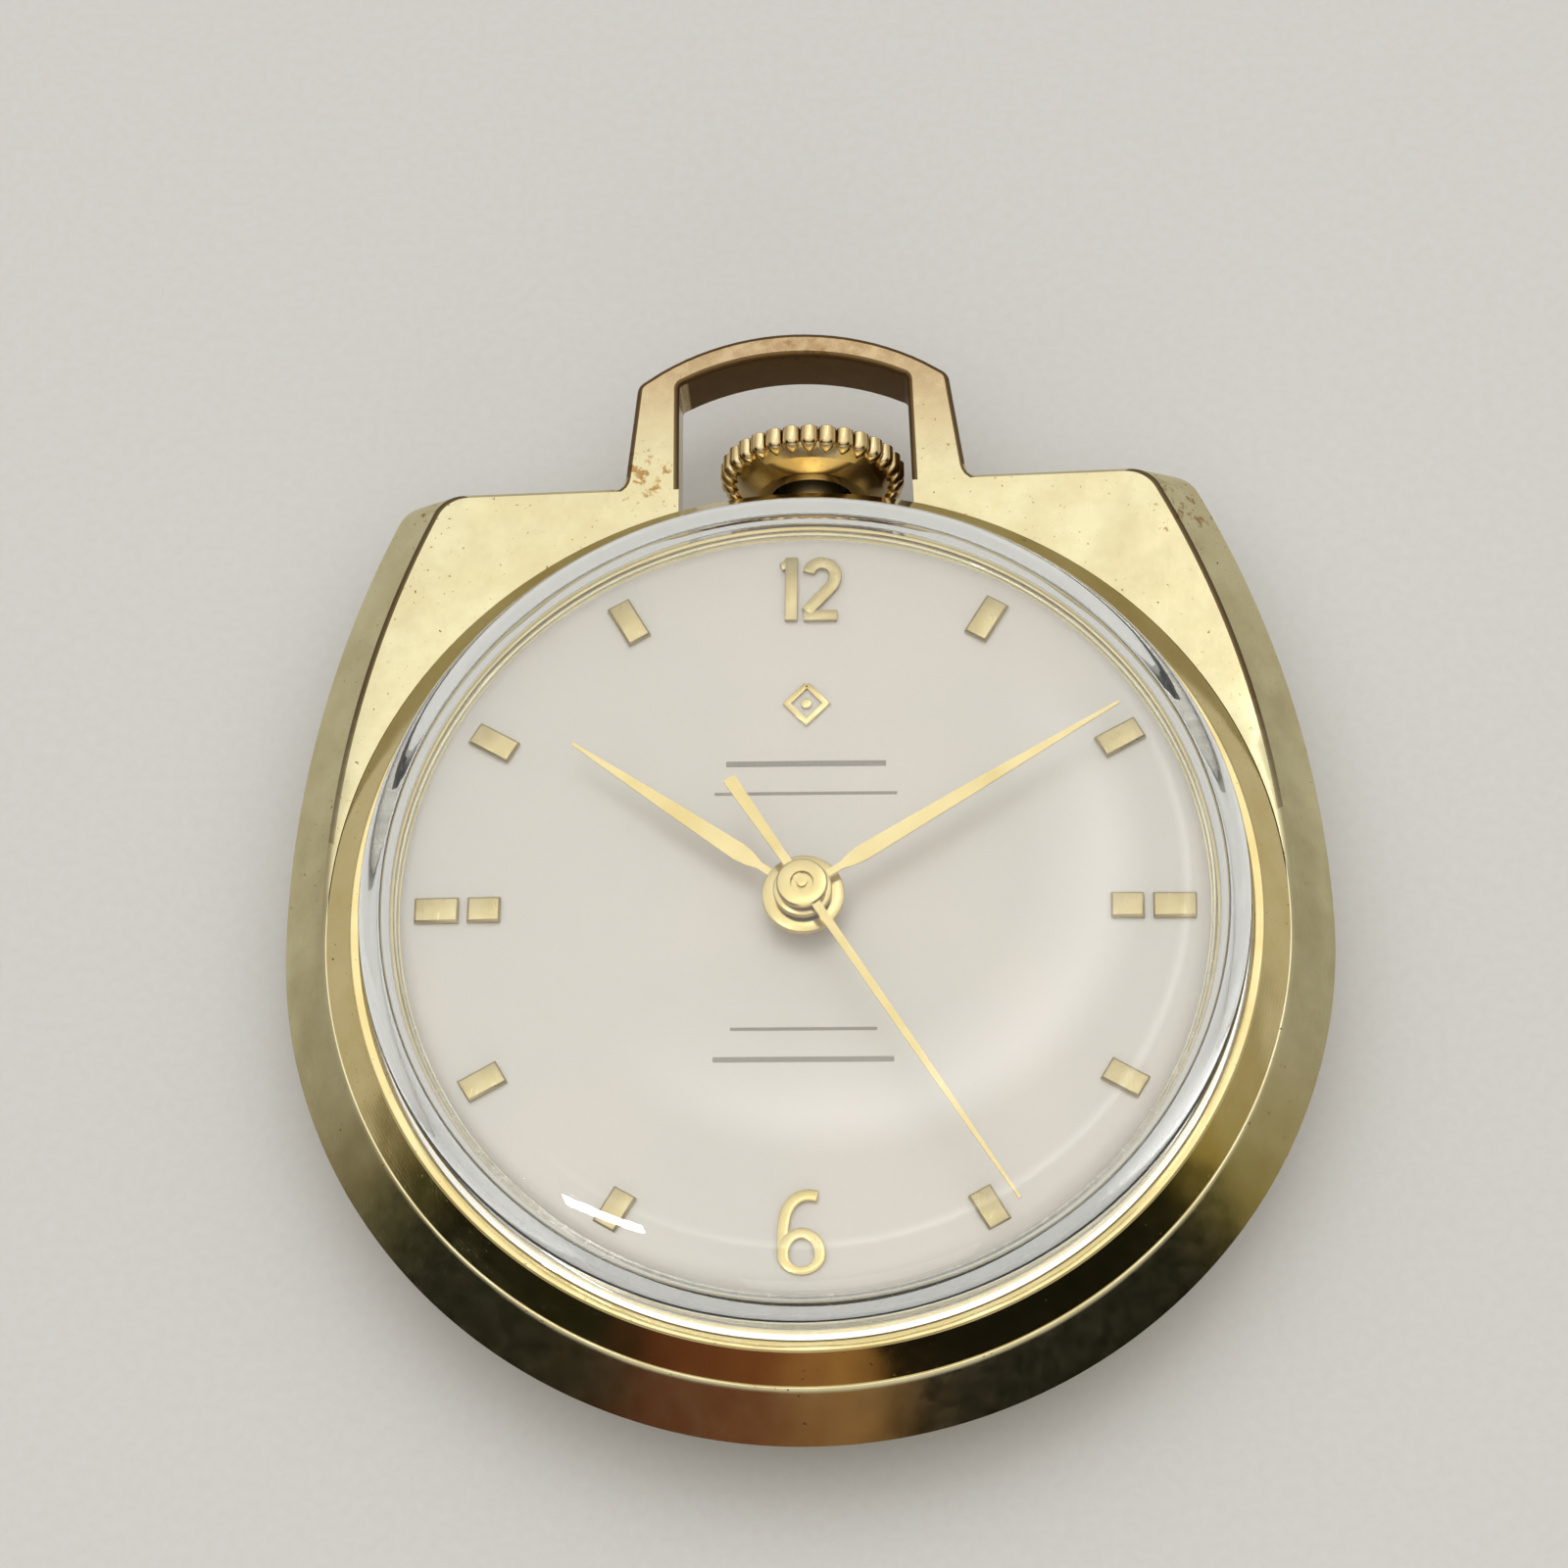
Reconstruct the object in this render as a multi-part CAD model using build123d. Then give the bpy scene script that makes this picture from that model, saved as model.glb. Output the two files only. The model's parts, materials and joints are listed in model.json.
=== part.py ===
from build123d import *
from math import atan2, cos, degrees, hypot, radians, sin, sqrt
import os

# Fob watch: a round container in a flat gold frame with a bow, a domed crystal, and a hand-wound
# movement with centre seconds.  Millimetres.  The dial faces +Z, 12 o'clock and the bow point to +Y,
# and the origin is the middle of the outer face of the back.

# ---- driving dimensions ------------------------------------------------------------------------

RUN = 0.03                  # radial running clearance of arbors in their holes
FIT = 0.03                  # gap between parts that drop into one another
GAP = 0.05                  # axial gap between parts that pass over one another

# case, from the inside out
MOVEMENT_R = 12.8           # 11 1/2 ligne movement
RING_WIDTH = 2.5            # from the movement to the container's bore
CONTAINER_WALL = 2.27
NECK_WALL = 1.2             # the container's neck, inside the bezel
RIM_WIDTH = 1.67            # frame beyond the container, at its widest edge
FRAME_TURN = 1.8            # the frame sits slightly turned on the container, degrees
BACK_T = 0.7
BACK_SLOPE = 1.8            # plan width of the back's sloping edge inside the bore
BACK_GAP = 1.0              # from the back's inner face to the balance cock

# heights of the case
FRAME_FRONT_Z = 5.70
FRAME_EDGE_Z = 4.26         # height of the widest edge
FRAME_BACK_Z = 1.6
BOW_BACK_Z = 3.25
BEZEL_LIP_RISE = 1.06       # bezel lip above the frame's front face
FRONT_BEVEL = 1.59          # plan width of the frame's front facet
BACK_BEVEL = 1.1

# shoulders and bow
SHOULDER_RISE = 0.88        # shoulder line beyond the container's wall
SHOULDER_SIDE_R = 42.0
SHOULDER_CORNER_R = 1.3
SHOULDER_FRONT_STEP = 0.35  # how far the facets draw the shoulder in, in front and at the back
SHOULDER_BACK_STEP = 0.8
CROWN_ROOM = 0.9            # from the crown to the bow's inner wall
BOW_TAPER = 0.6             # how much narrower each side of the bow is at its corner
BOW_RISE = 4.15             # from the shoulder line to the bow's corners
BOW_ARCH = 2.05             # from the corners to the top of the bow
BOW_SIDE_T = 2.1
BOW_SIDE_TOP_T = 1.6
BOW_TOP_T = 1.0
BOW_CORNER_R = 0.8

# crystal and dial
CRYSTAL_WALL_T = 0.95
CRYSTAL_WALL_H = 2.9
CRYSTAL_RISE = 1.55         # height of the dome over its shoulder
CRYSTAL_TOP_T = 1.1
DIAL_T = 0.4
DIAL_HOLE_R = 1.0
MARKER_T = 0.25
MARKER_INSET = 1.85         # from the dial's edge to the centre circle of the batons
MARKER_L = 1.75
MARKER_W = 0.9
PAIR_OUT = (0.09, 1.7)      # outer baton at 3 and 9: place beyond the centre circle, length
PAIR_IN = (-1.67, 1.2)
NUMERAL_W = 0.62
NUMERAL_12_INSET = 0.5      # numeral centres, inside the centre circle of the batons
NUMERAL_6_INSET = 0.9
EMBLEM_Y = 8.0

# hands: length, height of the underside, thickness, angle clockwise from 12
HOUR_HAND = (10.4, 7.70, 0.15, 305.5)
MINUTE_HAND = (13.6, 8.20, 0.15, 57.3)
SECONDS_HAND = (14.0, 8.70, 0.12, 147.0)
SECONDS_TAIL = 4.9
HOUR_BOSS_R = 1.47
MINUTE_BOSS_R = 1.05
SECONDS_BOSS_R = 0.92

# crown and stem
CROWN_R = 3.6
CROWN_L = 1.5
CROWN_FLUTES = 30
CROWN_STAND_OFF = 0.78      # crown's inner face beyond the container wall
CROWN_PULL = 0.6
STEM_Z = 3.75
STEM_R = 0.55
TUBE_WALL = 0.35

# movement heights, back to front
PLATE_BACK_Z = 3.1
PLATE_FRONT_Z = 6.1
BRIDGE_T = 0.6
WINDING_WHEEL_T = 0.3
RECESS_FLOOR_Z = 5.2        # floor of the dial-side recess of the main plate
POCKET_TOP_Z = 4.75         # ceiling of the train pockets

# trains: teeth and modules
BARREL_TEETH, CENTRE_LEAVES, BARREL_M = 72, 12, 0.135
CENTRE_TEETH, THIRD_LEAVES, CENTRE_M = 64, 8, 0.10
THIRD_TEETH, FOURTH_LEAVES = 60, 8
FOURTH_TEETH, ESCAPE_LEAVES, FOURTH_M = 70, 7, 0.095
ESCAPE_TEETH, ESCAPE_R = 15, 2.1
CANNON_LEAVES, MINUTE_TEETH, MOTION_M = 12, 36, 0.13
MINUTE_LEAVES, HOUR_TEETH = 10, 40
SETTING_TEETH = 20
RATCHET_TEETH, CROWN_WHEEL_TEETH, WINDING_M = 44, 26, 0.2
WINDING_LEAVES = 13
BALANCE_R = 4.3

# arbors
SECONDS_ARBOR_R = 0.14
CENTRE_ARBOR_R = 0.36
CANNON_R = 0.58
HOUR_PIPE_R = 0.90
PIVOT_R = 0.12
ARBOR_R = 0.18
JEWEL_R = 0.5
POST_R = 0.3                # fixed posts of the minute and setting wheels
LEVER_POST_R = 0.25

# screws: radius of the shank and of its hole
SCREW_R, SCREW_HOLE_R = 0.33, 0.35
SCREW_HEAD_R = 0.65
SMALL_SCREW_R, SMALL_HOLE_R = 0.20, 0.22

# directions of the arbors from one another, degrees
BARREL_DIR = 165.0
THIRD_DIR = -20.0
ESCAPE_DIR = -90.0
PALLET_DIR = 210.8
BALANCE_DIR = 210.8
MINUTE_DIR = 55.4
PALLET_DIST = 2.42
BALANCE_DIST = 2.93

# ---- worked-out sizes and places ---------------------------------------------------------------

CONTAINER_BORE_R = MOVEMENT_R + RING_WIDTH
CONTAINER_R = CONTAINER_BORE_R + CONTAINER_WALL
FRAME_BORE_R = CONTAINER_R + FIT
FRAME_R = FRAME_BORE_R + RIM_WIDTH
BEZEL_LIP_Z = FRAME_FRONT_Z + BEZEL_LIP_RISE
NECK_Z = FRAME_FRONT_Z + 0.20
NECK_R = CONTAINER_BORE_R + NECK_WALL
BACK_FLAT_R = CONTAINER_BORE_R - BACK_SLOPE
SHOULDER_Y = CONTAINER_R + SHOULDER_RISE
BOW_ROOT_HALF = CROWN_R + CROWN_ROOM + BOW_SIDE_T
BOW_TOP_HALF = BOW_ROOT_HALF - BOW_TAPER
BOW_CORNER_Y = SHOULDER_Y + BOW_RISE
BOW_TOP_Y = BOW_CORNER_Y + BOW_ARCH
CRYSTAL_R = CONTAINER_BORE_R + 0.8
CRYSTAL_SHOULDER_Z = NECK_Z + CRYSTAL_WALL_H
CRYSTAL_TOP_Z = CRYSTAL_SHOULDER_Z + CRYSTAL_RISE
DIAL_Z = PLATE_FRONT_Z + GAP
DIAL_FRONT_Z = DIAL_Z + DIAL_T
DIAL_R = CONTAINER_BORE_R - 0.25
MARKER_R = DIAL_R - MARKER_INSET
RING_R = CONTAINER_BORE_R - GAP
TUBE_R = STEM_R + 0.1 + TUBE_WALL
CROWN_Y = CONTAINER_R + CROWN_STAND_OFF
BRIDGE_Z = PLATE_BACK_Z - BRIDGE_T
WINDING_WHEEL_Z = BRIDGE_Z - GAP - WINDING_WHEEL_T
COCK_Z = BACK_T + BACK_GAP
COCK_T = 0.6
HEAD_T = 0.3


def polar(centre, distance, angle):
    return (centre[0] + distance * cos(radians(angle)), centre[1] + distance * sin(radians(angle)))


CENTRE = (0.0, 0.0)
BARREL = polar(CENTRE, BARREL_M * (BARREL_TEETH + CENTRE_LEAVES) / 2, BARREL_DIR)
THIRD_DIST = CENTRE_M * (CENTRE_TEETH + THIRD_LEAVES) / 2
THIRD_M = 2 * THIRD_DIST / (THIRD_TEETH + FOURTH_LEAVES)
THIRD = polar(CENTRE, THIRD_DIST, THIRD_DIR)
ESCAPE = polar(CENTRE, FOURTH_M * (FOURTH_TEETH + ESCAPE_LEAVES) / 2, ESCAPE_DIR)
PALLET = polar(ESCAPE, PALLET_DIST, PALLET_DIR)
BALANCE = polar(PALLET, BALANCE_DIST, BALANCE_DIR)
MOTION_DIST = MOTION_M * (CANNON_LEAVES + MINUTE_TEETH) / 2
HOUR_M = 2 * MOTION_DIST / (MINUTE_LEAVES + HOUR_TEETH)
MINUTE = polar(CENTRE, MOTION_DIST, MINUTE_DIR)
SETTING_DIST = MOTION_M * (MINUTE_TEETH + SETTING_TEETH) / 2
SETTING_X = 2.0
SETTING = (SETTING_X, MINUTE[1] + sqrt(SETTING_DIST ** 2 - (SETTING_X - MINUTE[0]) ** 2))
WINDING_DIST = WINDING_M * (RATCHET_TEETH + CROWN_WHEEL_TEETH) / 2
CROWN_WHEEL = (0.0, BARREL[1] + sqrt(WINDING_DIST ** 2 - BARREL[0] ** 2))
CROWN_WHEEL_R = WINDING_M * CROWN_WHEEL_TEETH / 2
WINDING_Y = CROWN_WHEEL[1] + CROWN_WHEEL_R - 0.18    # winding pinion's inner face
WINDING_L = 1.0
WINDING_R = STEM_Z - WINDING_WHEEL_Z - WINDING_WHEEL_T + 0.10

# heights of the train wheels inside the plate
FOURTH_Z, FOURTH_T = 3.10, 0.18
FOURTH_PINION_Z = (3.36, 3.68)
THIRD_Z, WHEEL_T = 3.42, 0.18
BARREL_Z, BARREL_TOP_Z = 3.40, 4.36
BARREL_TOOTH_Z = (3.95, 4.22)
CENTRE_PINION_Z = (3.74, 4.36)
CENTRE_Z = 4.42
THIRD_PINION_Z = (4.38, 4.66)
ESCAPE_Z, ESCAPE_T = 3.80, 0.17
MINUTE_Z = 5.30
HOUR_Z = 5.60
BALANCE_Z, BALANCE_T = 2.62, 0.30


# ---- shapes used all over ----------------------------------------------------------------------

def disc(at, r, z0, z1):
    return Pos(at[0], at[1], (z0 + z1) / 2) * Cylinder(r, z1 - z0)


def ring(at, r_out, r_in, z0, z1):
    return disc(at, r_out, z0, z1) - disc(at, r_in, z0 - 1, z1 + 1)


def block(x, y, z):
    size = (x[1] - x[0], y[1] - y[0], z[1] - z[0])
    return Pos((x[0] + x[1]) / 2, (y[0] + y[1]) / 2, (z[0] + z[1]) / 2) * Box(*size)


def plate(face, z0, z1):
    return extrude(Pos(0, 0, z0) * face, z1 - z0)


def polygon(*points):
    return make_face(Polyline(*points, close=True))


def rectangle(x, y):
    return polygon((x[0], y[0]), (x[1], y[0]), (x[1], y[1]), (x[0], y[1]))


def turned(*points):
    """A solid of revolution about Z from (radius, height) corners."""
    return revolve(make_face(Polyline(*[(r, 0, z) for r, z in points], close=True)), Axis.Z)


def rod_y(x, z, r, y0, y1):
    """A round bar along Y."""
    return Pos(x, (y0 + y1) / 2, z) * Rot(90, 0, 0) * Cylinder(r, y1 - y0)


def bar(a, b, width):
    """A flat bar with round ends from one point to another, as a face."""
    length = hypot(b[0] - a[0], b[1] - a[1])
    middle = ((a[0] + b[0]) / 2, (a[1] + b[1]) / 2)
    angle = degrees(atan2(b[1] - a[1], b[0] - a[0]))
    straight = Pos(*middle) * Rot(0, 0, angle) * Rectangle(length, width)
    return straight + Pos(*a) * Circle(width / 2) + Pos(*b) * Circle(width / 2)


def screw(at, head_r, seat_z, shank_to, shank_r):
    """A slotted screw whose head points to the back of the watch."""
    body = disc(at, head_r, seat_z - HEAD_T, seat_z) + disc(at, shank_r, seat_z, shank_to)
    slot = Pos(at[0], at[1], seat_z - HEAD_T) * Box(2 * head_r + 1, 0.22 * head_r, HEAD_T)
    return body - slot


def save(name, shape):
    pieces = shape if isinstance(shape, list) else [shape]
    solids = [solid for piece in pieces for solid in piece.solids()]
    export_step(Compound(children=solids) if len(solids) > 1 else solids[0], f"parts/{name}.step")


# ---- gears -------------------------------------------------------------------------------------

WHEEL_TOOTH = (0.46, 1.25, 1.45, 0.30)      # share of the pitch, addendum, dedendum, share left at the tip
PINION_TOOTH = (0.33, 0.55, 1.60, 0.45)


def gear_face(teeth, module, tooth, phase):
    """A gear outline about its own centre, with one tooth pointing at angle phase."""
    share, addendum, dedendum, tip = tooth
    r = teeth * module / 2
    half = 180 / teeth * share
    corners = ((r - dedendum * module, -half), (r, -half), (r + addendum * module, -half * tip),
               (r + addendum * module, half * tip), (r, half), (r - dedendum * module, half))
    points = []
    for i in range(teeth):
        middle = phase + 360 * i / teeth
        points += [polar((0, 0), radius, middle + turn) for radius, turn in corners]
    return polygon(*points)


def mesh_phase(a, teeth_a, phase_a, b, teeth_b):
    """Angle of a tooth of gear b, set so that it meshes with gear a."""
    line = degrees(atan2(b[1] - a[1], b[0] - a[0]))
    return line + 180 - (phase_a - line) * teeth_a / teeth_b + 180 / teeth_b


def spoked(face, r_rim, r_hub, spokes, spoke_w):
    """Cuts the windows of a wheel and leaves its spokes."""
    window = Circle(r_rim) - Circle(r_hub)
    for i in range(spokes):
        window -= Rot(0, 0, 360 * i / spokes) * Pos(r_rim / 2, 0) * Rectangle(r_rim + 0.2, spoke_w)
    return face - window


def wheel(at, teeth, module, phase, z0, thickness, bore, spokes=4):
    face = gear_face(teeth, module, WHEEL_TOOTH, phase)
    rim_r = teeth * module / 2 - 3.4 * module
    if spokes:
        face = spoked(face, rim_r, bore + 0.35, spokes, 2.2 * module)
    return plate(Pos(*at) * (face - Circle(bore)), z0, z0 + thickness)


def pinion(at, leaves, module, phase, z, bore=0.0):
    face = gear_face(leaves, module, PINION_TOOTH, phase)
    if bore:
        face -= Circle(bore)
    return plate(Pos(*at) * face, z[0], z[1])


# phases, from the barrel to the escape wheel and from the cannon pinion to the setting wheel
CENTRE_PINION_PHASE = mesh_phase(BARREL, BARREL_TEETH, 0, CENTRE, CENTRE_LEAVES)
THIRD_PINION_PHASE = mesh_phase(CENTRE, CENTRE_TEETH, 0, THIRD, THIRD_LEAVES)
FOURTH_PINION_PHASE = mesh_phase(THIRD, THIRD_TEETH, 0, CENTRE, FOURTH_LEAVES)
ESCAPE_PINION_PHASE = mesh_phase(CENTRE, FOURTH_TEETH, 0, ESCAPE, ESCAPE_LEAVES)
MINUTE_WHEEL_PHASE = mesh_phase(CENTRE, CANNON_LEAVES, 0, MINUTE, MINUTE_TEETH)
HOUR_WHEEL_PHASE = mesh_phase(MINUTE, MINUTE_LEAVES, 0, CENTRE, HOUR_TEETH)
SETTING_PHASE = mesh_phase(MINUTE, MINUTE_TEETH, MINUTE_WHEEL_PHASE, SETTING, SETTING_TEETH)
CROWN_WHEEL_PHASE = 90.0
RATCHET_PHASE = mesh_phase(CROWN_WHEEL, CROWN_WHEEL_TEETH, CROWN_WHEEL_PHASE, BARREL, RATCHET_TEETH)


# ---- outer frame -------------------------------------------------------------------------------

def round_with_shoulders(inset, top):
    """Plan outline of the frame: a round lower half, shoulders drawn in by long side arcs."""
    r = FRAME_R - inset
    side_centre = FRAME_R - SHOULDER_SIDE_R
    side_r = SHOULDER_SIDE_R - inset
    corner_x = side_centre + sqrt(side_r ** 2 - top ** 2)
    middle = top / 2
    middle_x = side_centre + sqrt(side_r ** 2 - middle ** 2)
    outline = Curve() + [
        ThreePointArc((-r, 0), (0, -r), (r, 0)),
        ThreePointArc((r, 0), (middle_x, middle), (corner_x, top)),
        Line((corner_x, top), (-corner_x, top)),
        ThreePointArc((-corner_x, top), (-middle_x, middle), (-r, 0)),
    ]
    face = make_face(outline)
    corners = [v for v in face.vertices() if v.Y > top / 2]
    return fillet(corners, SHOULDER_CORNER_R)


def bow_face(inner):
    """Plan outline of the bow, or of its opening."""
    root = BOW_ROOT_HALF - (BOW_SIDE_T if inner else 0)
    top = BOW_TOP_HALF - (BOW_SIDE_TOP_T if inner else 0)
    apex = BOW_TOP_Y - (BOW_TOP_T if inner else 0)
    corner = BOW_CORNER_Y
    low = SHOULDER_Y - 1.0
    outline = Curve() + [
        Polyline((-top, corner), (-root, low), (root, low), (top, corner)),
        ThreePointArc((top, corner), (0, apex), (-top, corner)),
    ]
    face = make_face(outline)
    corners = [v for v in face.vertices() if v.Y > corner - 0.1]
    return fillet(corners, BOW_CORNER_R)


def make_frame():
    front = round_with_shoulders(FRONT_BEVEL, SHOULDER_Y - SHOULDER_FRONT_STEP)
    edge = round_with_shoulders(0, SHOULDER_Y)
    back = round_with_shoulders(BACK_BEVEL, SHOULDER_Y - SHOULDER_BACK_STEP)
    upper = loft([Pos(0, 0, FRAME_EDGE_Z) * edge, Pos(0, 0, FRAME_FRONT_Z) * front], ruled=True)
    lower = loft([Pos(0, 0, FRAME_BACK_Z) * back, Pos(0, 0, FRAME_EDGE_Z) * edge], ruled=True)
    bow = plate(bow_face(False), BOW_BACK_Z, FRAME_FRONT_Z)
    shape = upper + lower + bow
    shape -= plate(bow_face(True), FRAME_BACK_Z - 1, FRAME_FRONT_Z + 1)
    seat = BOW_ROOT_HALF - BOW_SIDE_T
    shape -= block((-seat, seat), (CONTAINER_BORE_R, SHOULDER_Y - 0.9), (0, FRAME_FRONT_Z + 1))
    shape -= disc(CENTRE, FRAME_BORE_R, 0, FRAME_FRONT_Z + 1)
    return Rot(0, 0, FRAME_TURN) * shape


# ---- container, bezel, crystal, back -----------------------------------------------------------

def make_case_middle():
    bore = CONTAINER_BORE_R
    shape = turned((bore + 0.65, 1.5), (CONTAINER_R, 1.5), (CONTAINER_R, FRAME_FRONT_Z - 0.1),
                   (NECK_R, FRAME_FRONT_Z - 0.1), (NECK_R, NECK_Z), (bore, NECK_Z),
                   (bore, 2.45), (bore + 0.65, 2.45))
    return shape - rod_y(0, STEM_Z, TUBE_R + RUN, CONTAINER_BORE_R - 1, CONTAINER_R + 1)


def make_bezel():
    seat = CRYSTAL_R + 0.04
    neck = NECK_R + 0.04
    return turned((CONTAINER_R - 0.01, FRAME_FRONT_Z - 0.06), (CONTAINER_R - 0.01, FRAME_FRONT_Z + 0.02),
                  (neck + 0.04, BEZEL_LIP_Z - 0.06), (neck - 0.02, BEZEL_LIP_Z),
                  (seat + 0.16, BEZEL_LIP_Z), (seat, BEZEL_LIP_Z - 0.16),
                  (seat, NECK_Z + 0.02), (neck, NECK_Z + 0.02), (neck, FRAME_FRONT_Z - 0.06))


def make_crystal():
    """A steep wall, a rounded shoulder and a shallow dome, hollowed from below."""
    r = CRYSTAL_R
    z = CRYSTAL_SHOULDER_Z
    dome_r, dome_z = r - 1.1, z + 0.4
    inner = r - CRYSTAL_WALL_T
    hollow_r, hollow_z = inner - 1.1, z + 0.08
    outside = turned((0, NECK_Z), (r, NECK_Z), (r - 0.05, z - 0.6), (r - 0.35, z), (dome_r, dome_z),
                     (0, dome_z))
    hollow = turned((0, NECK_Z - 1), (inner, NECK_Z - 1), (inner, z - 0.7), (inner - 0.3, z - 0.2),
                    (hollow_r, hollow_z), (0, hollow_z))
    outside += dome(dome_r, dome_z, CRYSTAL_TOP_Z)
    hollow += dome(hollow_r, hollow_z, CRYSTAL_TOP_Z - CRYSTAL_TOP_T)
    return outside - hollow


def dome(base_r, base_z, top_z):
    """A spherical cap that stands on a circle."""
    rise = top_z - base_z
    sphere_r = (base_r ** 2 + rise ** 2) / (2 * rise)
    cap = Pos(0, 0, top_z - sphere_r) * Sphere(sphere_r)
    return cap & Pos(0, 0, base_z + rise / 2) * Cylinder(base_r + 1, rise)


def make_back():
    bore = CONTAINER_BORE_R
    flange = CONTAINER_R - 0.4
    return turned((0, 0), (BACK_FLAT_R, 0), (flange, 1.1), (flange, 1.45), (bore + 0.6, 1.45),
                  (bore + 0.6, 2.4), (bore - 0.1, 2.4), (bore - 0.1, 1.6), (BACK_FLAT_R, BACK_T), (0, BACK_T))


def make_movement_ring():
    shape = turned((MOVEMENT_R + GAP, 4.4), (RING_R, 4.4), (RING_R, NECK_Z - GAP), (DIAL_R, NECK_Z - GAP),
                   (DIAL_R, DIAL_Z), (MOVEMENT_R + GAP, DIAL_Z))
    return shape - rod_y(0, STEM_Z, TUBE_R + GAP, MOVEMENT_R - 1, RING_R + 1)


CLAMP_ANGLES = (-25.0, 155.0)
CLAMP_SCREWS = [polar(CENTRE, MOVEMENT_R - 0.9, angle) for angle in CLAMP_ANGLES]
CLAMP_T = 0.25
CLAMP_W = 1.6


def make_clamps():
    """Two clamps on the plate's edge, each with its screw, that reach under the movement ring."""
    parts = []
    seat = PLATE_BACK_Z - CLAMP_T
    for at, angle in zip(CLAMP_SCREWS, CLAMP_ANGLES):
        tip = polar(CENTRE, MOVEMENT_R + 1.0, angle)
        parts.append(plate(bar(at, tip, CLAMP_W) - Pos(*at) * Circle(SCREW_R), seat, PLATE_BACK_Z))
        parts.append(screw(at, 0.6, seat, 4.4, SCREW_R))
    return parts


# ---- crown, tube and stem ----------------------------------------------------------------------

TUBE_TOP_Y = CROWN_Y + 0.6


def make_pendant_tube():
    inner = STEM_R + 0.1
    tube = rod_y(0, STEM_Z, TUBE_R, RING_R - 0.05, TUBE_TOP_Y)
    return tube - rod_y(0, STEM_Z, inner, MOVEMENT_R, TUBE_TOP_Y + 1)


def make_crown():
    """A fluted crown: the flutes run out on a cone at its inner end, and the top is slightly domed."""
    r = CROWN_R
    depth = 0.28
    y0 = CROWN_Y
    y1 = CROWN_Y + CROWN_L
    flat = [(0, y0 + 1.1), (TUBE_R + 0.55, y0 + 1.1), (TUBE_R + 0.55, y0), (r - 1.0, y0), (r, y0 + 0.65),
            (r, y1 - 0.22), (r - 0.25, y1), (0, y1 + 0.12)]
    section = make_face(Polyline(*[(a, y, 0) for a, y in flat], close=True))
    body = Pos(0, 0, STEM_Z) * revolve(section, Axis.Y)
    for i in range(CROWN_FLUTES):
        angle = radians(360 * i / CROWN_FLUTES)
        at = Pos(r * sin(angle), (y0 + y1) / 2, STEM_Z + r * cos(angle))
        groove = Rot(90, 0, 0) * Rot(0, 0, 45) * Box(depth, depth, CROWN_L + 1)
        body -= at * Rot(0, degrees(angle), 0) * groove
    return body - rod_y(0, STEM_Z, STEM_R - 0.15, y0, y1 - 0.15)


def make_gasket():
    y = TUBE_TOP_Y + 0.15
    return rod_y(0, STEM_Z, TUBE_R + 0.5, y, y + 0.3) - rod_y(0, STEM_Z, STEM_R + FIT, y - 1, y + 1)


SLIDING_Y = (7.05, 8.15)        # sliding pinion at rest
SLIDING_R = 1.0
SQUARE_W = 0.62                 # square of the stem that drives the sliding pinion
LEVER_PIN_Y = 10.6
LEVER_ARM = 2.6
STEM_TIP_Y = 5.9


def make_stem():
    square = block((-SQUARE_W / 2, SQUARE_W / 2), (STEM_TIP_Y + 0.5, WINDING_Y),
                   (STEM_Z - SQUARE_W / 2, STEM_Z + SQUARE_W / 2))
    shape = square + rod_y(0, STEM_Z, STEM_R, WINDING_Y, CROWN_Y + 0.9)
    shape += rod_y(0, STEM_Z, STEM_R - 0.18, CROWN_Y + 0.9, CROWN_Y + CROWN_L - 0.25)
    shape += rod_y(0, STEM_Z, 0.25, STEM_TIP_Y, STEM_TIP_Y + 0.6)
    groove = rod_y(0, STEM_Z, 1, LEVER_PIN_Y - 0.3, LEVER_PIN_Y + 0.3)
    return shape - (groove - rod_y(0, STEM_Z, STEM_R - 0.2, LEVER_PIN_Y - 1, LEVER_PIN_Y + 1))


def crown_teeth(y, length, r_out, r_in, teeth, tip_share):
    """Straight teeth cut along a short drum on the stem."""
    points = []
    for i in range(teeth):
        for share, radius in ((-0.30, r_in), (-tip_share, r_out), (tip_share, r_out), (0.30, r_in)):
            points.append(polar((0, 0), radius, 90 + 360 * (i + 0.5 + share) / teeth))
    face = polygon(*points)
    return Pos(0, y + length, STEM_Z) * Rot(90, 0, 0) * extrude(face, length)


def make_winding_pinion():
    drum = crown_teeth(WINDING_Y, WINDING_L, WINDING_R, WINDING_R - 0.3, WINDING_LEAVES, 0.12)
    return drum - rod_y(0, STEM_Z, STEM_R + RUN, WINDING_Y - 1, WINDING_Y + WINDING_L + 1)


def make_sliding_pinion():
    y0, y1 = SLIDING_Y
    shape = crown_teeth(y0, 0.35, SLIDING_R, SLIDING_R - 0.3, 14, 0.2)
    shape += rod_y(0, STEM_Z, 0.8, y0 + 0.3, y1 - 0.3)
    shape += rod_y(0, STEM_Z, SLIDING_R, y1 - 0.3, y1)
    half = SQUARE_W / 2 + RUN
    return shape - block((-half, half), (y0 - 1, y1 + 1), (STEM_Z - half, STEM_Z + half))


# ---- keyless works -----------------------------------------------------------------------------

LEVER_Z = (5.35, 5.60)
LEVER_W = 0.8
LEVER_PIVOT = (-LEVER_ARM, LEVER_PIN_Y)
YOKE_PIVOT = (-3.4, 7.6)
YOKE_TIP = (0.0, 7.6)
SETTING_SPRING_FOOT = (-6.4, 9.6)


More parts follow.
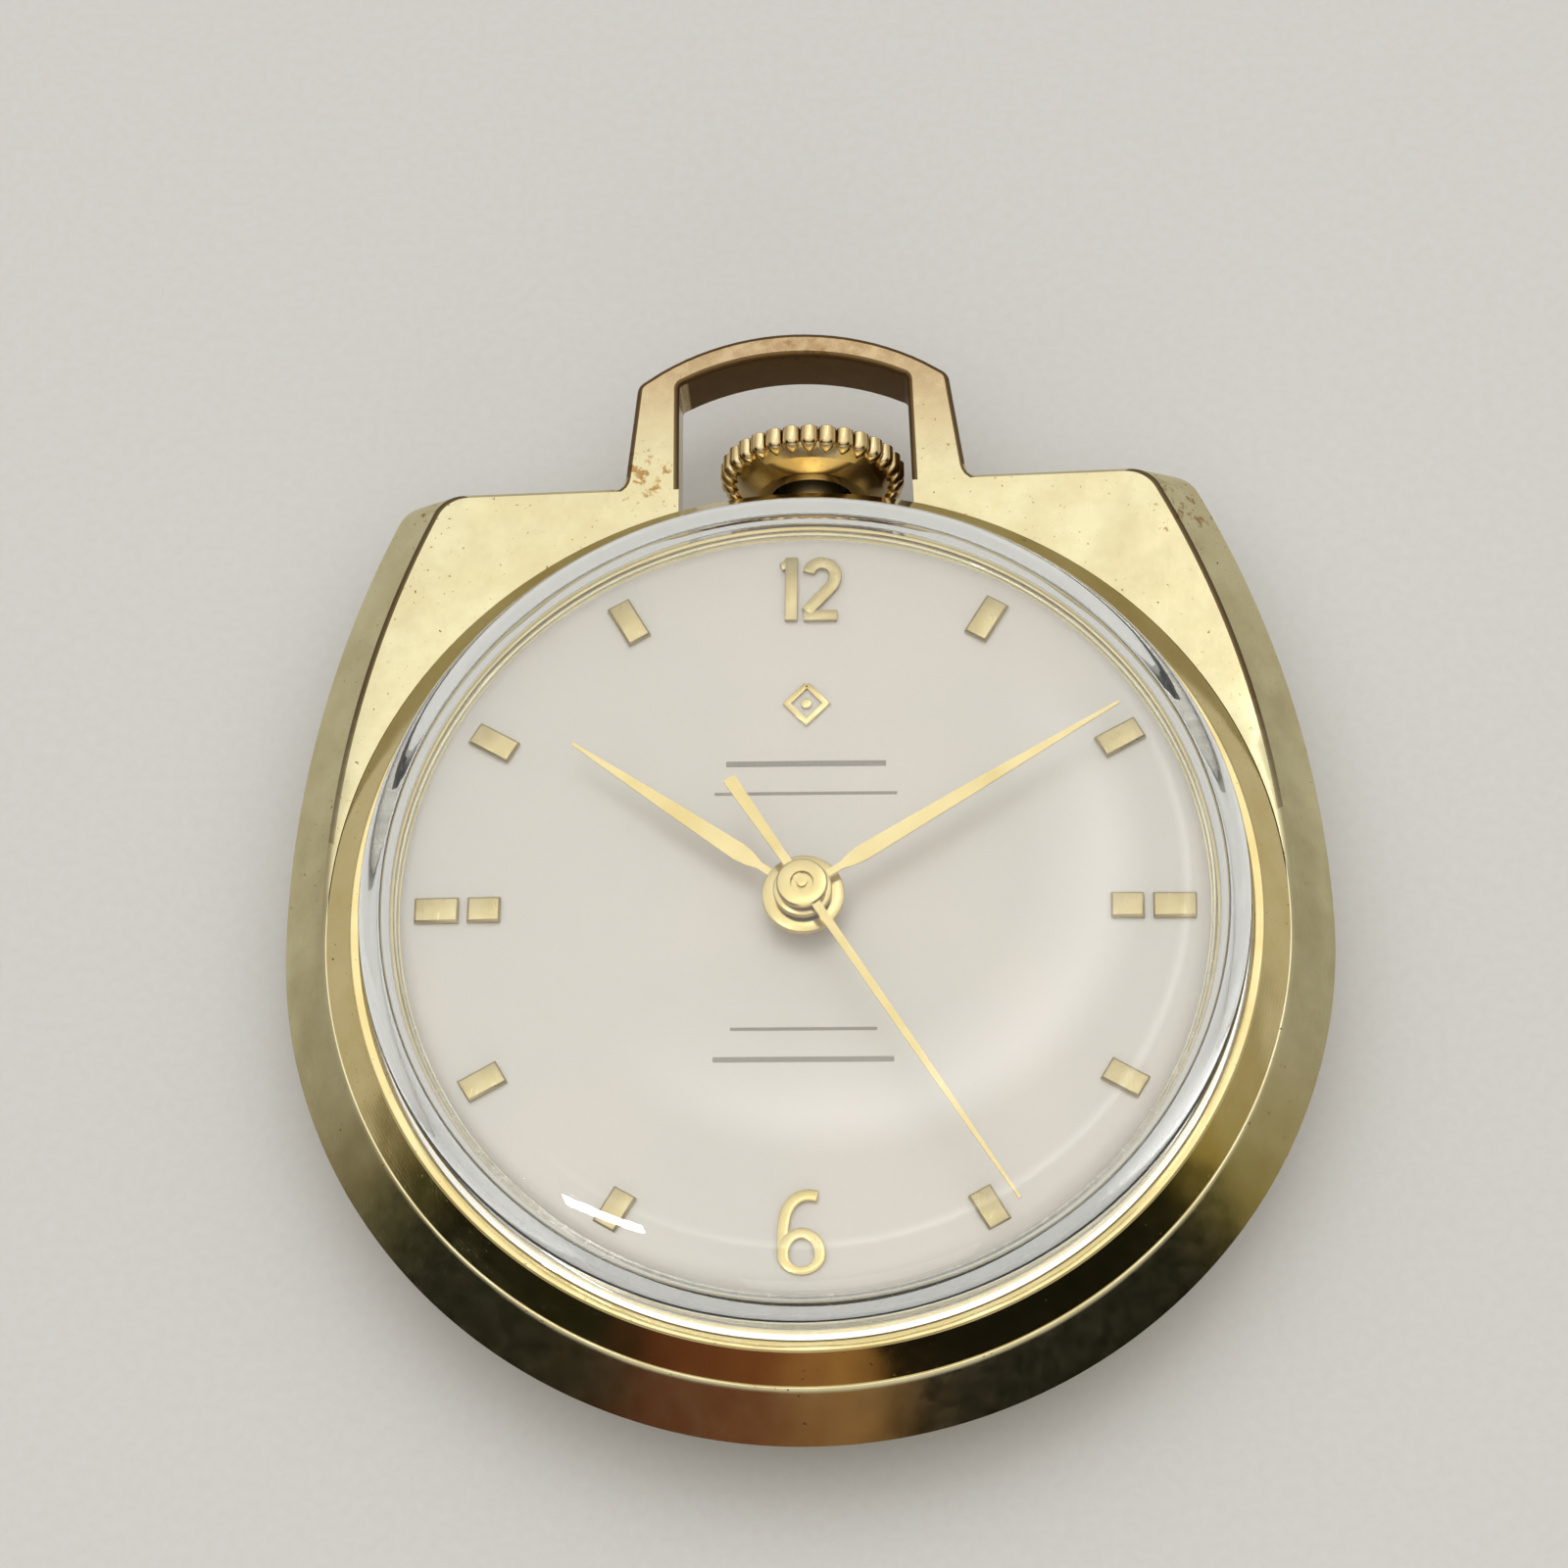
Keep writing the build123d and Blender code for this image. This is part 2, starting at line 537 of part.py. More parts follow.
def make_setting_lever():
    face = bar(LEVER_PIVOT, (0, LEVER_PIN_Y), LEVER_W) - Pos(*LEVER_PIVOT) * Circle(LEVER_POST_R + RUN)
    return plate(face, *LEVER_Z) + disc((0, LEVER_PIN_Y), 0.15, STEM_Z + STEM_R - 0.12, LEVER_Z[0] + 0.05)


def make_yoke():
    face = bar(YOKE_PIVOT, YOKE_TIP, 0.7) - Pos(*YOKE_PIVOT) * Circle(LEVER_POST_R + RUN)
    return plate(face, *LEVER_Z) + disc(YOKE_TIP, 0.12, STEM_Z + 0.85, LEVER_Z[0] + 0.05)


def make_setting_spring():
    """Jumper that holds the setting lever, screwed to the plate."""
    foot = SETTING_SPRING_FOOT
    heel = (foot[0] + 1.8, foot[1])
    tip = (foot[0] + 3.0, foot[1])
    face = bar(foot, heel, 0.9) + bar(heel, tip, 0.22) - Pos(*foot) * Circle(0.25)
    head = disc(foot, 0.5, LEVER_Z[1], LEVER_Z[1] + 0.25)
    return [plate(face, *LEVER_Z), head + disc(foot, 0.25, LEVER_Z[0] - 0.1, LEVER_Z[1] + 0.05)]


# ---- main plate and bridges --------------------------------------------------------------------

BRIDGE_GAP = 0.06
BRIDGE_R = MOVEMENT_R - 0.4
SPLIT = ((-11.0, -2.9), (-1.7, -1.9), (-1.3, 1.5), (2.8, 3.3), (11.0, 4.0))     # between the bridges
CLAMP_CLEAR_R = 1.2
CORE_STUD_R = 0.28
TRAIN_SCREWS = ((10.6, -1.2), (2.4, -10.9))
BARREL_SCREWS = ((6.4, 8.9), (-11.6, 0.4), (-4.4, 10.6))
COCK_FOOT = (-10.15, -6.3)
COCK_FOOT_BLOCK = ((-11.9, -9.3), (-8.5, -4.1))     # plan extent of the cock's foot
COCK_CORNER = ((-15.0, -3.0), (-14.0, -2.0))        # corner that the train bridge leaves to the cock
PALLET_SCREW = (-0.75, -7.0)
PALLET_BRIDGE_Z = (3.30, 3.60)
DIAL_FEET = ((0.0, -11.6), (9.6, 6.4))
DIAL_FOOT_R = 0.3
GRUB_R = 0.28
BARREL_PIVOT_R = 0.4
PLATE_JEWELS = (THIRD, ESCAPE, PALLET, BALANCE)
PALLET_JEWEL_R = 0.35


def train_pockets():
    """Everything cut from the back of the main plate to house the train."""
    drum_r = BARREL_M * BARREL_TEETH / 2 + 0.45
    z0 = PLATE_BACK_Z - 1
    cuts = disc(BARREL, drum_r, z0, BARREL_TOP_Z + 0.2)
    cuts += disc(CENTRE, CENTRE_M * CENTRE_TEETH / 2 + 0.4, z0, POCKET_TOP_Z)
    cuts += disc(THIRD, THIRD_M * THIRD_TEETH / 2 + 0.4, z0, THIRD_Z + WHEEL_T + 0.15)
    cuts += disc(THIRD, 1.0, z0, POCKET_TOP_Z)
    cuts += disc(ESCAPE, ESCAPE_R + 0.4, z0, ESCAPE_Z + ESCAPE_T + 0.15)
    cuts += plate(bar(ESCAPE, BALANCE, 3.2), z0, ESCAPE_Z + ESCAPE_T + 0.15)
    cuts += plate(bar(PALLET, PALLET_SCREW, 2.0), z0, PALLET_BRIDGE_Z[1])
    cuts += block((-1.75, 1.75), (STEM_TIP_Y + 0.4, WINDING_Y + WINDING_L + 0.15), (z0, PLATE_FRONT_Z + 1))
    cuts += rod_y(0, STEM_Z, STEM_R + RUN, WINDING_Y, MOVEMENT_R + 1)
    cuts += rod_y(0, STEM_Z, 0.25 + RUN, STEM_TIP_Y - 0.4, STEM_TIP_Y + 0.6)
    return cuts


def dial_side_cuts():
    top = PLATE_FRONT_Z + 1
    cuts = disc(CENTRE, MOTION_DIST + MOTION_M * MINUTE_TEETH / 2 + 0.35, RECESS_FLOOR_Z, top)
    cuts += disc(SETTING, MOTION_M * SETTING_TEETH / 2 + 0.4, RECESS_FLOOR_Z, top)
    cuts += block((-7.1, 1.0), (6.9, LEVER_PIN_Y + LEVER_W / 2 + CROWN_PULL + 0.1), (LEVER_Z[0] - GAP, top))
    cuts += block((-0.4, 0.5), (LEVER_PIN_Y - 0.4, LEVER_PIN_Y + CROWN_PULL + 0.4), (STEM_Z, top))
    return cuts


def foot_screw(at, r):
    """The radial screw, or its hole, from the plate's edge to a dial foot."""
    angle = degrees(atan2(at[1], at[0]))
    start = hypot(*at) + DIAL_FOOT_R + 0.01
    middle = polar(CENTRE, (start + MOVEMENT_R + 0.5) / 2, angle)
    along = Rot(0, 0, angle) * Rot(0, 90, 0)
    return Pos(middle[0], middle[1], 4.6) * along * Cylinder(r, MOVEMENT_R + 0.5 - start)


def make_main_plate():
    shape = disc(CENTRE, MOVEMENT_R, PLATE_BACK_Z, PLATE_FRONT_Z)
    shape = shape - train_pockets() - dial_side_cuts()
    shape -= disc(CENTRE, CENTRE_ARBOR_R + RUN, 0, PLATE_FRONT_Z + 1)
    for at in PLATE_JEWELS:
        shape -= disc(at, JEWEL_R, PLATE_BACK_Z - 1, RECESS_FLOOR_Z - 0.05)
        shape -= disc(at, JEWEL_R, ESCAPE_Z, POCKET_TOP_Z + 0.3)
    for at in TRAIN_SCREWS + BARREL_SCREWS + (COCK_FOOT,):
        shape -= disc(at, SCREW_HOLE_R, 0, 4.6)
    for at in CLAMP_SCREWS:
        shape -= disc(at, SCREW_HOLE_R, 0, 4.5)
    shape -= disc(PALLET_SCREW, SMALL_HOLE_R, 0, 4.4)
    shape -= disc(BARREL, BARREL_PIVOT_R + RUN, BARREL_TOP_Z, BARREL_TOP_Z + 0.4)
    for at in DIAL_FEET:
        shape -= disc(at, DIAL_FOOT_R + GAP, 4.2, PLATE_FRONT_Z + 1)
        shape -= foot_screw(at, GRUB_R)
    for at in (MINUTE, SETTING):
        shape += disc(at, POST_R, RECESS_FLOOR_Z - 0.1, MINUTE_Z + 0.65)
    for at in (LEVER_PIVOT, YOKE_PIVOT):
        shape += disc(at, LEVER_POST_R, LEVER_Z[0] - 0.15, LEVER_Z[1] + 0.1)
    return shape - disc(SETTING_SPRING_FOOT, 0.27, 4.9, PLATE_FRONT_Z)


def make_barrel_bridge():
    far = MOVEMENT_R + 1.2
    upper = polygon((-far, SPLIT[0][1]), *SPLIT, (far, SPLIT[-1][1]), (far, far), (-far, far))
    face = Circle(BRIDGE_R) & upper
    face -= Pos(*BALANCE) * Circle(BALANCE_R + 0.5)
    face -= Pos(0, WINDING_Y + WINDING_L / 2) * Rectangle(2 * WINDING_R + 0.3, WINDING_L + 0.3)
    face -= Pos(*BARREL) * Circle(BARREL_PIVOT_R + 0.2 + RUN)
    face -= Pos(*CROWN_WHEEL) * Circle(CORE_STUD_R + 0.02)
    for at in BARREL_SCREWS:
        face -= Pos(*at) * Circle(SCREW_HOLE_R)
    for at in CLAMP_SCREWS:
        face -= Pos(*at) * Circle(CLAMP_CLEAR_R)
    groove = rod_y(0, STEM_Z, SLIDING_R + 0.1, SLIDING_Y[0] - CROWN_PULL - 0.1, WINDING_Y)
    return plate(face, BRIDGE_Z, PLATE_BACK_Z) - groove - rod_y(0, STEM_Z, STEM_R + RUN, WINDING_Y, far)


def make_train_bridge():
    far = MOVEMENT_R + 1.2
    low = [(x, y - BRIDGE_GAP) for x, y in ((-far, SPLIT[0][1]), *SPLIT, (far, SPLIT[-1][1]))]
    face = Circle(BRIDGE_R) & polygon(*low, (far, -far), (-far, -far))
    face -= Pos(*BALANCE) * Circle(BALANCE_R + 0.35)
    face -= rectangle(*COCK_CORNER)
    for at in TRAIN_SCREWS:
        face -= Pos(*at) * Circle(SCREW_HOLE_R)
    for at in (CENTRE, THIRD, ESCAPE):
        face -= Pos(*at) * Circle(JEWEL_R)
    for at in CLAMP_SCREWS:
        face -= Pos(*at) * Circle(CLAMP_CLEAR_R)
    return plate(face, BRIDGE_Z, PLATE_BACK_Z)


def make_pallet_bridge():
    face = bar(PALLET, PALLET_SCREW, 1.6) - Pos(*PALLET) * Circle(PALLET_JEWEL_R)
    return plate(face - Pos(*PALLET_SCREW) * Circle(SMALL_HOLE_R), *PALLET_BRIDGE_Z)


def make_balance_cock():
    arm = bar(BALANCE, COCK_FOOT, 3.0) & Circle(BRIDGE_R)
    foot = rectangle(*COCK_FOOT_BLOCK) & Circle(BRIDGE_R)
    foot -= Pos(*BALANCE) * Circle(BALANCE_R + 0.2)
    shape = plate(arm, COCK_Z, COCK_Z + COCK_T) + plate(foot, COCK_Z, PLATE_BACK_Z)
    shape -= disc(BALANCE, JEWEL_R, 0, 3)
    return shape - disc(COCK_FOOT, SCREW_HOLE_R, 0, 4)


def make_bridge_screws():
    screws = [screw(at, SCREW_HEAD_R, BRIDGE_Z, 4.2, SCREW_R) for at in TRAIN_SCREWS + BARREL_SCREWS]
    screws.append(screw(COCK_FOOT, SCREW_HEAD_R, COCK_Z, 4.2, SCREW_R))
    screws.append(screw(PALLET_SCREW, 0.4, PALLET_BRIDGE_Z[0], 4.1, SMALL_SCREW_R))
    return screws


def make_jewels():
    """Bearing stones in the plate, the bridges and the cock."""
    stones = []
    for at in PLATE_JEWELS:
        stones.append(ring(at, JEWEL_R, PIVOT_R + RUN, POCKET_TOP_Z, POCKET_TOP_Z + 0.3))
    for at in (THIRD, ESCAPE):
        stones.append(ring(at, JEWEL_R, PIVOT_R + RUN, BRIDGE_Z, PLATE_BACK_Z - 0.2))
    stones.append(ring(CENTRE, JEWEL_R, SECONDS_ARBOR_R + RUN, BRIDGE_Z, PLATE_BACK_Z - 0.2))
    stones.append(ring(PALLET, PALLET_JEWEL_R, PIVOT_R + RUN, *PALLET_BRIDGE_Z))
    stones.append(ring(BALANCE, JEWEL_R, PIVOT_R + RUN, COCK_Z, COCK_Z + COCK_T))
    return stones


# ---- barrel and winding ------------------------------------------------------------------------

DRUM_R = BARREL_M * BARREL_TEETH / 2 - 0.25
BARREL_ARBOR_R = 0.6
ARBOR_SQUARE = 0.5
RATCHET_SCREW_R = 0.15


def make_barrel_drum():
    teeth = plate(Pos(*BARREL) * gear_face(BARREL_TEETH, BARREL_M, WHEEL_TOOTH, 0), *BARREL_TOOTH_Z)
    shape = disc(BARREL, DRUM_R, BARREL_Z + 0.15, BARREL_TOP_Z) + teeth
    shape -= disc(BARREL, DRUM_R - 0.22, BARREL_Z, BARREL_TOP_Z - 0.15)
    return shape - disc(BARREL, BARREL_PIVOT_R + RUN, 0, 9)


def make_barrel_cover():
    return ring(BARREL, DRUM_R, BARREL_PIVOT_R + RUN, BARREL_Z, BARREL_Z + 0.15 - 0.005)


def make_barrel_arbor():
    shape = disc(BARREL, BARREL_ARBOR_R, BARREL_Z + 0.2, BARREL_TOP_Z - 0.2)
    shape += disc(BARREL, BARREL_PIVOT_R, WINDING_WHEEL_Z + WINDING_WHEEL_T, BARREL_TOP_Z + 0.35)
    shape += plate(Pos(*BARREL) * Rectangle(ARBOR_SQUARE, ARBOR_SQUARE), WINDING_WHEEL_Z, BARREL_Z)
    return shape - disc(BARREL, RATCHET_SCREW_R + 0.01, 0, BRIDGE_Z + 0.2)


def coil(at, r_in, r_out, turns, strip, z0, z1):
    """A flat spiral strip made of half circles that step outwards."""
    step = (r_out - r_in) / (2 * turns)
    arcs = []
    x = r_in
    side = 1
    for i in range(2 * turns):
        r = r_in + step * (i + 0.5)
        far = x - 2 * side * r
        arcs.append(ThreePointArc((x, 0), (x - side * r, side * r), (far, 0)))
        x = far
        side = -side
    return plate(Pos(*at) * make_face(Wire(arcs).offset_2d(strip / 2)), z0, z1)


def make_mainspring():
    return coil(BARREL, BARREL_ARBOR_R + 0.15, DRUM_R - 0.5, 8, 0.12, BARREL_Z + 0.22, BARREL_TOP_Z - 0.22)


def make_ratchet():
    face = gear_face(RATCHET_TEETH, WINDING_M, WHEEL_TOOTH, 0)
    hole = ARBOR_SQUARE + 2 * RUN
    face = Pos(*BARREL) * (Rot(0, 0, RATCHET_PHASE) * face - Rectangle(hole, hole))
    return plate(face, WINDING_WHEEL_Z, WINDING_WHEEL_Z + WINDING_WHEEL_T)


def make_ratchet_screw():
    at = BARREL
    shape = disc(at, 1.1, WINDING_WHEEL_Z - 0.25, WINDING_WHEEL_Z)
    shape += disc(at, RATCHET_SCREW_R, WINDING_WHEEL_Z, BRIDGE_Z + 0.1)
    return shape - Pos(at[0], at[1], WINDING_WHEEL_Z - 0.25) * Box(3, 0.25, 0.2)


CROWN_CORE_R = 0.9


def make_crown_wheel():
    face = gear_face(CROWN_WHEEL_TEETH, WINDING_M, (0.40, 1.25, 1.45, 0.30), CROWN_WHEEL_PHASE)
    face = Pos(*CROWN_WHEEL) * (face - Circle(CROWN_CORE_R + RUN))
    return plate(face, WINDING_WHEEL_Z, WINDING_WHEEL_Z + WINDING_WHEEL_T)


def make_crown_wheel_core():
    at = CROWN_WHEEL
    shape = disc(at, CROWN_CORE_R, WINDING_WHEEL_Z - 0.02, BRIDGE_Z)
    shape += disc(at, CORE_STUD_R, BRIDGE_Z, PLATE_BACK_Z)
    shape += disc(at, 1.3, WINDING_WHEEL_Z - 0.25, WINDING_WHEEL_Z - 0.02)
    return shape - Pos(at[0], at[1], WINDING_WHEEL_Z - 0.25) * Box(4, 0.3, 0.2)


CLICK_PIVOT = polar(BARREL, 6.0, 118)
CLICK_TIP = polar(BARREL, 4.95, 104)


def make_click():
    face = bar(CLICK_PIVOT, CLICK_TIP, 0.45) + Pos(*CLICK_PIVOT) * Circle(0.75)
    face -= Pos(*CLICK_PIVOT) * Circle(POST_R + RUN)
    return plate(face, WINDING_WHEEL_Z, WINDING_WHEEL_Z + WINDING_WHEEL_T)


def make_click_screw():
    at = CLICK_PIVOT
    shape = disc(at, POST_R, WINDING_WHEEL_Z - 0.02, BRIDGE_Z)
    shape += disc(at, 0.6, WINDING_WHEEL_Z - 0.22, WINDING_WHEEL_Z - 0.02)
    return shape - Pos(at[0], at[1], WINDING_WHEEL_Z - 0.22) * Box(3, 0.2, 0.15)


def make_click_spring():
    root = polar(BARREL, 7.1, 92)
    tip = polar(BARREL, 6.7, 108)
    face = bar(root, tip, 0.14) + Pos(*root) * Circle(0.4)
    return plate(face, WINDING_WHEEL_Z + 0.05, BRIDGE_Z)


# ---- going train -------------------------------------------------------------------------------

def make_centre_wheel():
    at = CENTRE
    shape = wheel(at, CENTRE_TEETH, CENTRE_M, 0, CENTRE_Z, WHEEL_T, CENTRE_ARBOR_R)
    shape += pinion(at, CENTRE_LEAVES, BARREL_M, CENTRE_PINION_PHASE, CENTRE_PINION_Z)
    shape += disc(at, CENTRE_ARBOR_R, CENTRE_PINION_Z[0], MINUTE_HAND[1] - 0.5)
    return shape - disc(at, SECONDS_ARBOR_R + RUN, 0, 12)


def make_third_wheel():
    at = THIRD
    shape = wheel(at, THIRD_TEETH, THIRD_M, 0, THIRD_Z, WHEEL_T, ARBOR_R)
    shape += pinion(at, THIRD_LEAVES, CENTRE_M, THIRD_PINION_PHASE, THIRD_PINION_Z)
    shape += disc(at, ARBOR_R, FOURTH_Z + FOURTH_T + GAP, POCKET_TOP_Z - GAP)
    return shape + disc(at, PIVOT_R, BRIDGE_Z + 0.1, POCKET_TOP_Z + 0.25)


def make_fourth_wheel():
    at = CENTRE
    shape = wheel(at, FOURTH_TEETH, FOURTH_M, 0, FOURTH_Z, FOURTH_T, ARBOR_R)
    shape += pinion(at, FOURTH_LEAVES, THIRD_M, FOURTH_PINION_PHASE, FOURTH_PINION_Z)
    shape += disc(at, ARBOR_R, FOURTH_Z - 0.1, FOURTH_PINION_Z[0])
    return shape + disc(at, SECONDS_ARBOR_R, BRIDGE_Z + 0.1, SECONDS_HAND[1] + 0.02)


def make_escape_wheel():
    """Club-toothed escape wheel on its pinion."""
    at = ESCAPE
    points = []
    for i in range(ESCAPE_TEETH):
        base = 360 * i / ESCAPE_TEETH
        for radius, turn in ((ESCAPE_R - 0.55, 0), (ESCAPE_R - 0.12, 2.5), (ESCAPE_R, 6.5),
                             (ESCAPE_R - 0.16, 8.6), (ESCAPE_R - 0.45, 7.0), (ESCAPE_R - 0.55, 10.0)):
            points.append(polar((0, 0), radius, base + turn))
    face = spoked(polygon(*points), ESCAPE_R - 0.8, 0.5, 4, 0.2)
    shape = plate(Pos(*at) * face, ESCAPE_Z, ESCAPE_Z + ESCAPE_T)
    shape += pinion(at, ESCAPE_LEAVES, FOURTH_M, ESCAPE_PINION_PHASE, (FOURTH_Z - 0.04, FOURTH_Z + 0.24))
    shape += disc(at, ARBOR_R, FOURTH_Z + 0.1, POCKET_TOP_Z - GAP)
    return shape + disc(at, PIVOT_R, BRIDGE_Z + 0.1, POCKET_TOP_Z + 0.25)


# ---- escapement and balance --------------------------------------------------------------------

FORK_Z = (ESCAPE_Z, ESCAPE_Z + 0.17)
STONE_REACH = 0.14


def make_pallet_fork():
    toward = BALANCE_DIR
    neck = polar(PALLET, BALANCE_DIST - 1.25, toward)
    horns = [polar(PALLET, BALANCE_DIST - 0.72, toward + side) for side in (6.5, -6.5)]
    arms = [polar(PALLET, 1.25, PALLET_DIR + 180 + side) for side in (62, -62)]
    face = bar(PALLET, neck, 0.34)
    for tip in arms:
        face += bar(PALLET, tip, 0.42)
    for tip in horns:
        face += bar(neck, tip, 0.14)
    shape = plate(face, *FORK_Z) + disc(PALLET, ARBOR_R, PALLET_BRIDGE_Z[1] + GAP, POCKET_TOP_Z - GAP)
    for slot in stone_slots():
        shape -= plate(slot, FORK_Z[0] - 1, FORK_Z[1] + 1)
    return shape + disc(PALLET, PIVOT_R, PALLET_BRIDGE_Z[0] + 0.05, POCKET_TOP_Z + 0.25)


def stone_slots():
    slots = []
    for side in (62, -62):
        tip = polar(PALLET, 1.25, PALLET_DIR + 180 + side)
        reach = polar(tip, STONE_REACH, PALLET_DIR + 180)
        slots.append(Pos(*reach) * Rot(0, 0, PALLET_DIR) * Rectangle(0.42, 0.16))
    return slots


def make_pallet_stones():
    return [plate(slot, *FORK_Z) for slot in stone_slots()]


def make_balance_wheel():
    face = Circle(BALANCE_R) - Circle(BALANCE_R - 0.45)
    face += bar((-BALANCE_R + 0.3, 0), (BALANCE_R - 0.3, 0), 0.55) + Circle(0.75)
    face -= Circle(0.3)
    shape = plate(Pos(*BALANCE) * face, BALANCE_Z, BALANCE_Z + BALANCE_T)
    for i in range(12):
        if i % 6:
            at = polar(BALANCE, BALANCE_R - 0.08, 30 * i)
            shape += disc(at, 0.14, BALANCE_Z - 0.04, BALANCE_Z + BALANCE_T + 0.04)
    return shape


ROLLER_Z = (3.40, 3.56)


def make_balance_staff():
    at = BALANCE
    shape = disc(at, 0.3, COCK_Z + COCK_T + GAP, ROLLER_Z[0]) + disc(at, 0.95, *ROLLER_Z)
    shape += disc(at, 0.45, BALANCE_Z + BALANCE_T, BALANCE_Z + BALANCE_T + 0.15)
    shape += disc(at, 0.2, ROLLER_Z[1], POCKET_TOP_Z - GAP)
    shape += disc(at, PIVOT_R, COCK_Z + 0.1, POCKET_TOP_Z + 0.25)
    return shape - disc(polar(at, 0.75, BALANCE_DIR + 180), 0.1, ROLLER_Z[0] - 1, 4)


def make_impulse_jewel():
    return disc(polar(BALANCE, 0.75, BALANCE_DIR + 180), 0.1, ROLLER_Z[0], FORK_Z[0] - 0.02)


def make_hairspring():
    z0 = COCK_Z + COCK_T + GAP
    spiral = coil(BALANCE, 0.55, 2.3, 9, 0.05, z0, z0 + 0.14)
    collet = ring(BALANCE, 0.58, 0.3 + RUN, z0, z0 + 0.14)
    return spiral + collet


def make_regulator():
    z1 = COCK_Z
    face = bar(BALANCE, polar(BALANCE, 3.2, 60), 0.35) + Pos(*BALANCE) * Circle(1.0)
    return plate(face - Pos(*BALANCE) * Circle(JEWEL_R), z1 - 0.2, z1)


# ---- motion works ------------------------------------------------------------------------------

def make_cannon_pinion():
    top = MINUTE_HAND[1] + MINUTE_HAND[2]
    shape = pinion(CENTRE, CANNON_LEAVES, MOTION_M, 0, (MINUTE_Z - 0.02, MINUTE_Z + 0.24))
    shape += disc(CENTRE, CANNON_R, MINUTE_Z, MINUTE_HAND[1]) + disc(CENTRE, CANNON_R - 0.1, MINUTE_Z, top)
    return shape - disc(CENTRE, CENTRE_ARBOR_R, 0, MINUTE_HAND[1] - 0.5) - disc(CENTRE, 0.2, 0, 12)


def make_minute_wheel():
    shape = wheel(MINUTE, MINUTE_TEETH, MOTION_M, MINUTE_WHEEL_PHASE, MINUTE_Z, 0.2, POST_R + RUN)
    shape += pinion(MINUTE, MINUTE_LEAVES, HOUR_M, 0, (MINUTE_Z + 0.2, MINUTE_Z + 0.58))
    return shape - disc(MINUTE, POST_R + RUN, 0, 12)


def make_hour_wheel():
    shape = wheel(CENTRE, HOUR_TEETH, HOUR_M, HOUR_WHEEL_PHASE, HOUR_Z, 0.22, CANNON_R + RUN, spokes=0)
    shape += disc(CENTRE, HOUR_PIPE_R, HOUR_Z, HOUR_HAND[1] + HOUR_HAND[2])
    return shape - disc(CENTRE, CANNON_R + RUN, 0, 12)


def make_dial_washer():
    return ring(CENTRE, 1.7, HOUR_PIPE_R + GAP, DIAL_Z - 0.12, DIAL_Z)


def make_setting_wheel():
    return wheel(SETTING, SETTING_TEETH, MOTION_M, SETTING_PHASE, MINUTE_Z, 0.4, POST_R + RUN, spokes=0)


# ---- dial and hands ----------------------------------------------------------------------------

def make_dial():
    shape = ring(CENTRE, DIAL_R, DIAL_HOLE_R, DIAL_Z, DIAL_FRONT_Z)
    for at in DIAL_FEET:
        shape += disc(at, DIAL_FOOT_R, 4.3, DIAL_Z)
    return shape


def make_dial_screws():
    """Grub screws through the plate's edge that hold the dial's feet."""
    return [foot_screw(at, GRUB_R) & disc(CENTRE, MOVEMENT_R - 0.1, 4, 5) for at in DIAL_FEET]


def marker(distance, length, hour):
    bar_solid = plate(Pos(0, distance) * Rectangle(MARKER_W, length), DIAL_FRONT_Z, DIAL_FRONT_Z + MARKER_T)
    top = bar_solid.faces().sort_by(Axis.Z)[-1]
    return Rot(0, 0, -30 * hour) * chamfer(top.edges(), 0.1)


def make_hour_markers():
    batons = [marker(MARKER_R, MARKER_L, hour) for hour in (1, 2, 4, 5, 7, 8, 10, 11)]
    for hour in (3, 9):
        for offset, length in (PAIR_OUT, PAIR_IN):
            batons.append(marker(MARKER_R + offset, length, hour))
    return batons


def numeral(face, y):
    return plate(Pos(0, y) * face, DIAL_FRONT_Z, DIAL_FRONT_Z + MARKER_T)


def make_numeral_12():
    one = Pos(-0.66, 0) * Rectangle(NUMERAL_W, 2.65)
    low, high, left, right = -1.32, 1.32, -0.15, 1.05
    stroke = 0.48
    two = polygon((left, low), (right, low), (right, low + stroke), (left + 0.62, low + stroke),
                  (right, 0.2), (right, high - 0.35), (right - 0.35, high), (left + 0.3, high),
                  (left, high - 0.35), (left, 0.45), (left + stroke, 0.45), (left + stroke, high - 0.5),
                  (right - stroke, high - 0.5), (right - stroke, 0.3), (left, low + 0.6))
    return [numeral(figure, MARKER_R - NUMERAL_12_INSET) for figure in (one, two)]


def make_numeral_6():
    top, bottom, bowl, half, stroke = 1.55, -1.55, 0.3, 0.87, 0.5
    face = polygon((-half, bottom), (half, bottom), (half, bowl), (-half + stroke, bowl),
                   (-half + stroke, top - stroke), (half, top - stroke), (half, top), (-half, top))
    face -= Pos(0, (bottom + bowl) / 2) * Rectangle(2 * (half - stroke), bowl - bottom - 2 * stroke)
    return numeral(face, NUMERAL_6_INSET - MARKER_R)


def make_emblem():
    half_w, half_h = 0.85, 0.9
    lozenge = polygon((0, half_h), (half_w, 0), (0, -half_h), (-half_w, 0)) - Circle(0.32)
    return plate(Pos(0, EMBLEM_Y) * lozenge, DIAL_FRONT_Z, DIAL_FRONT_Z + 0.15)


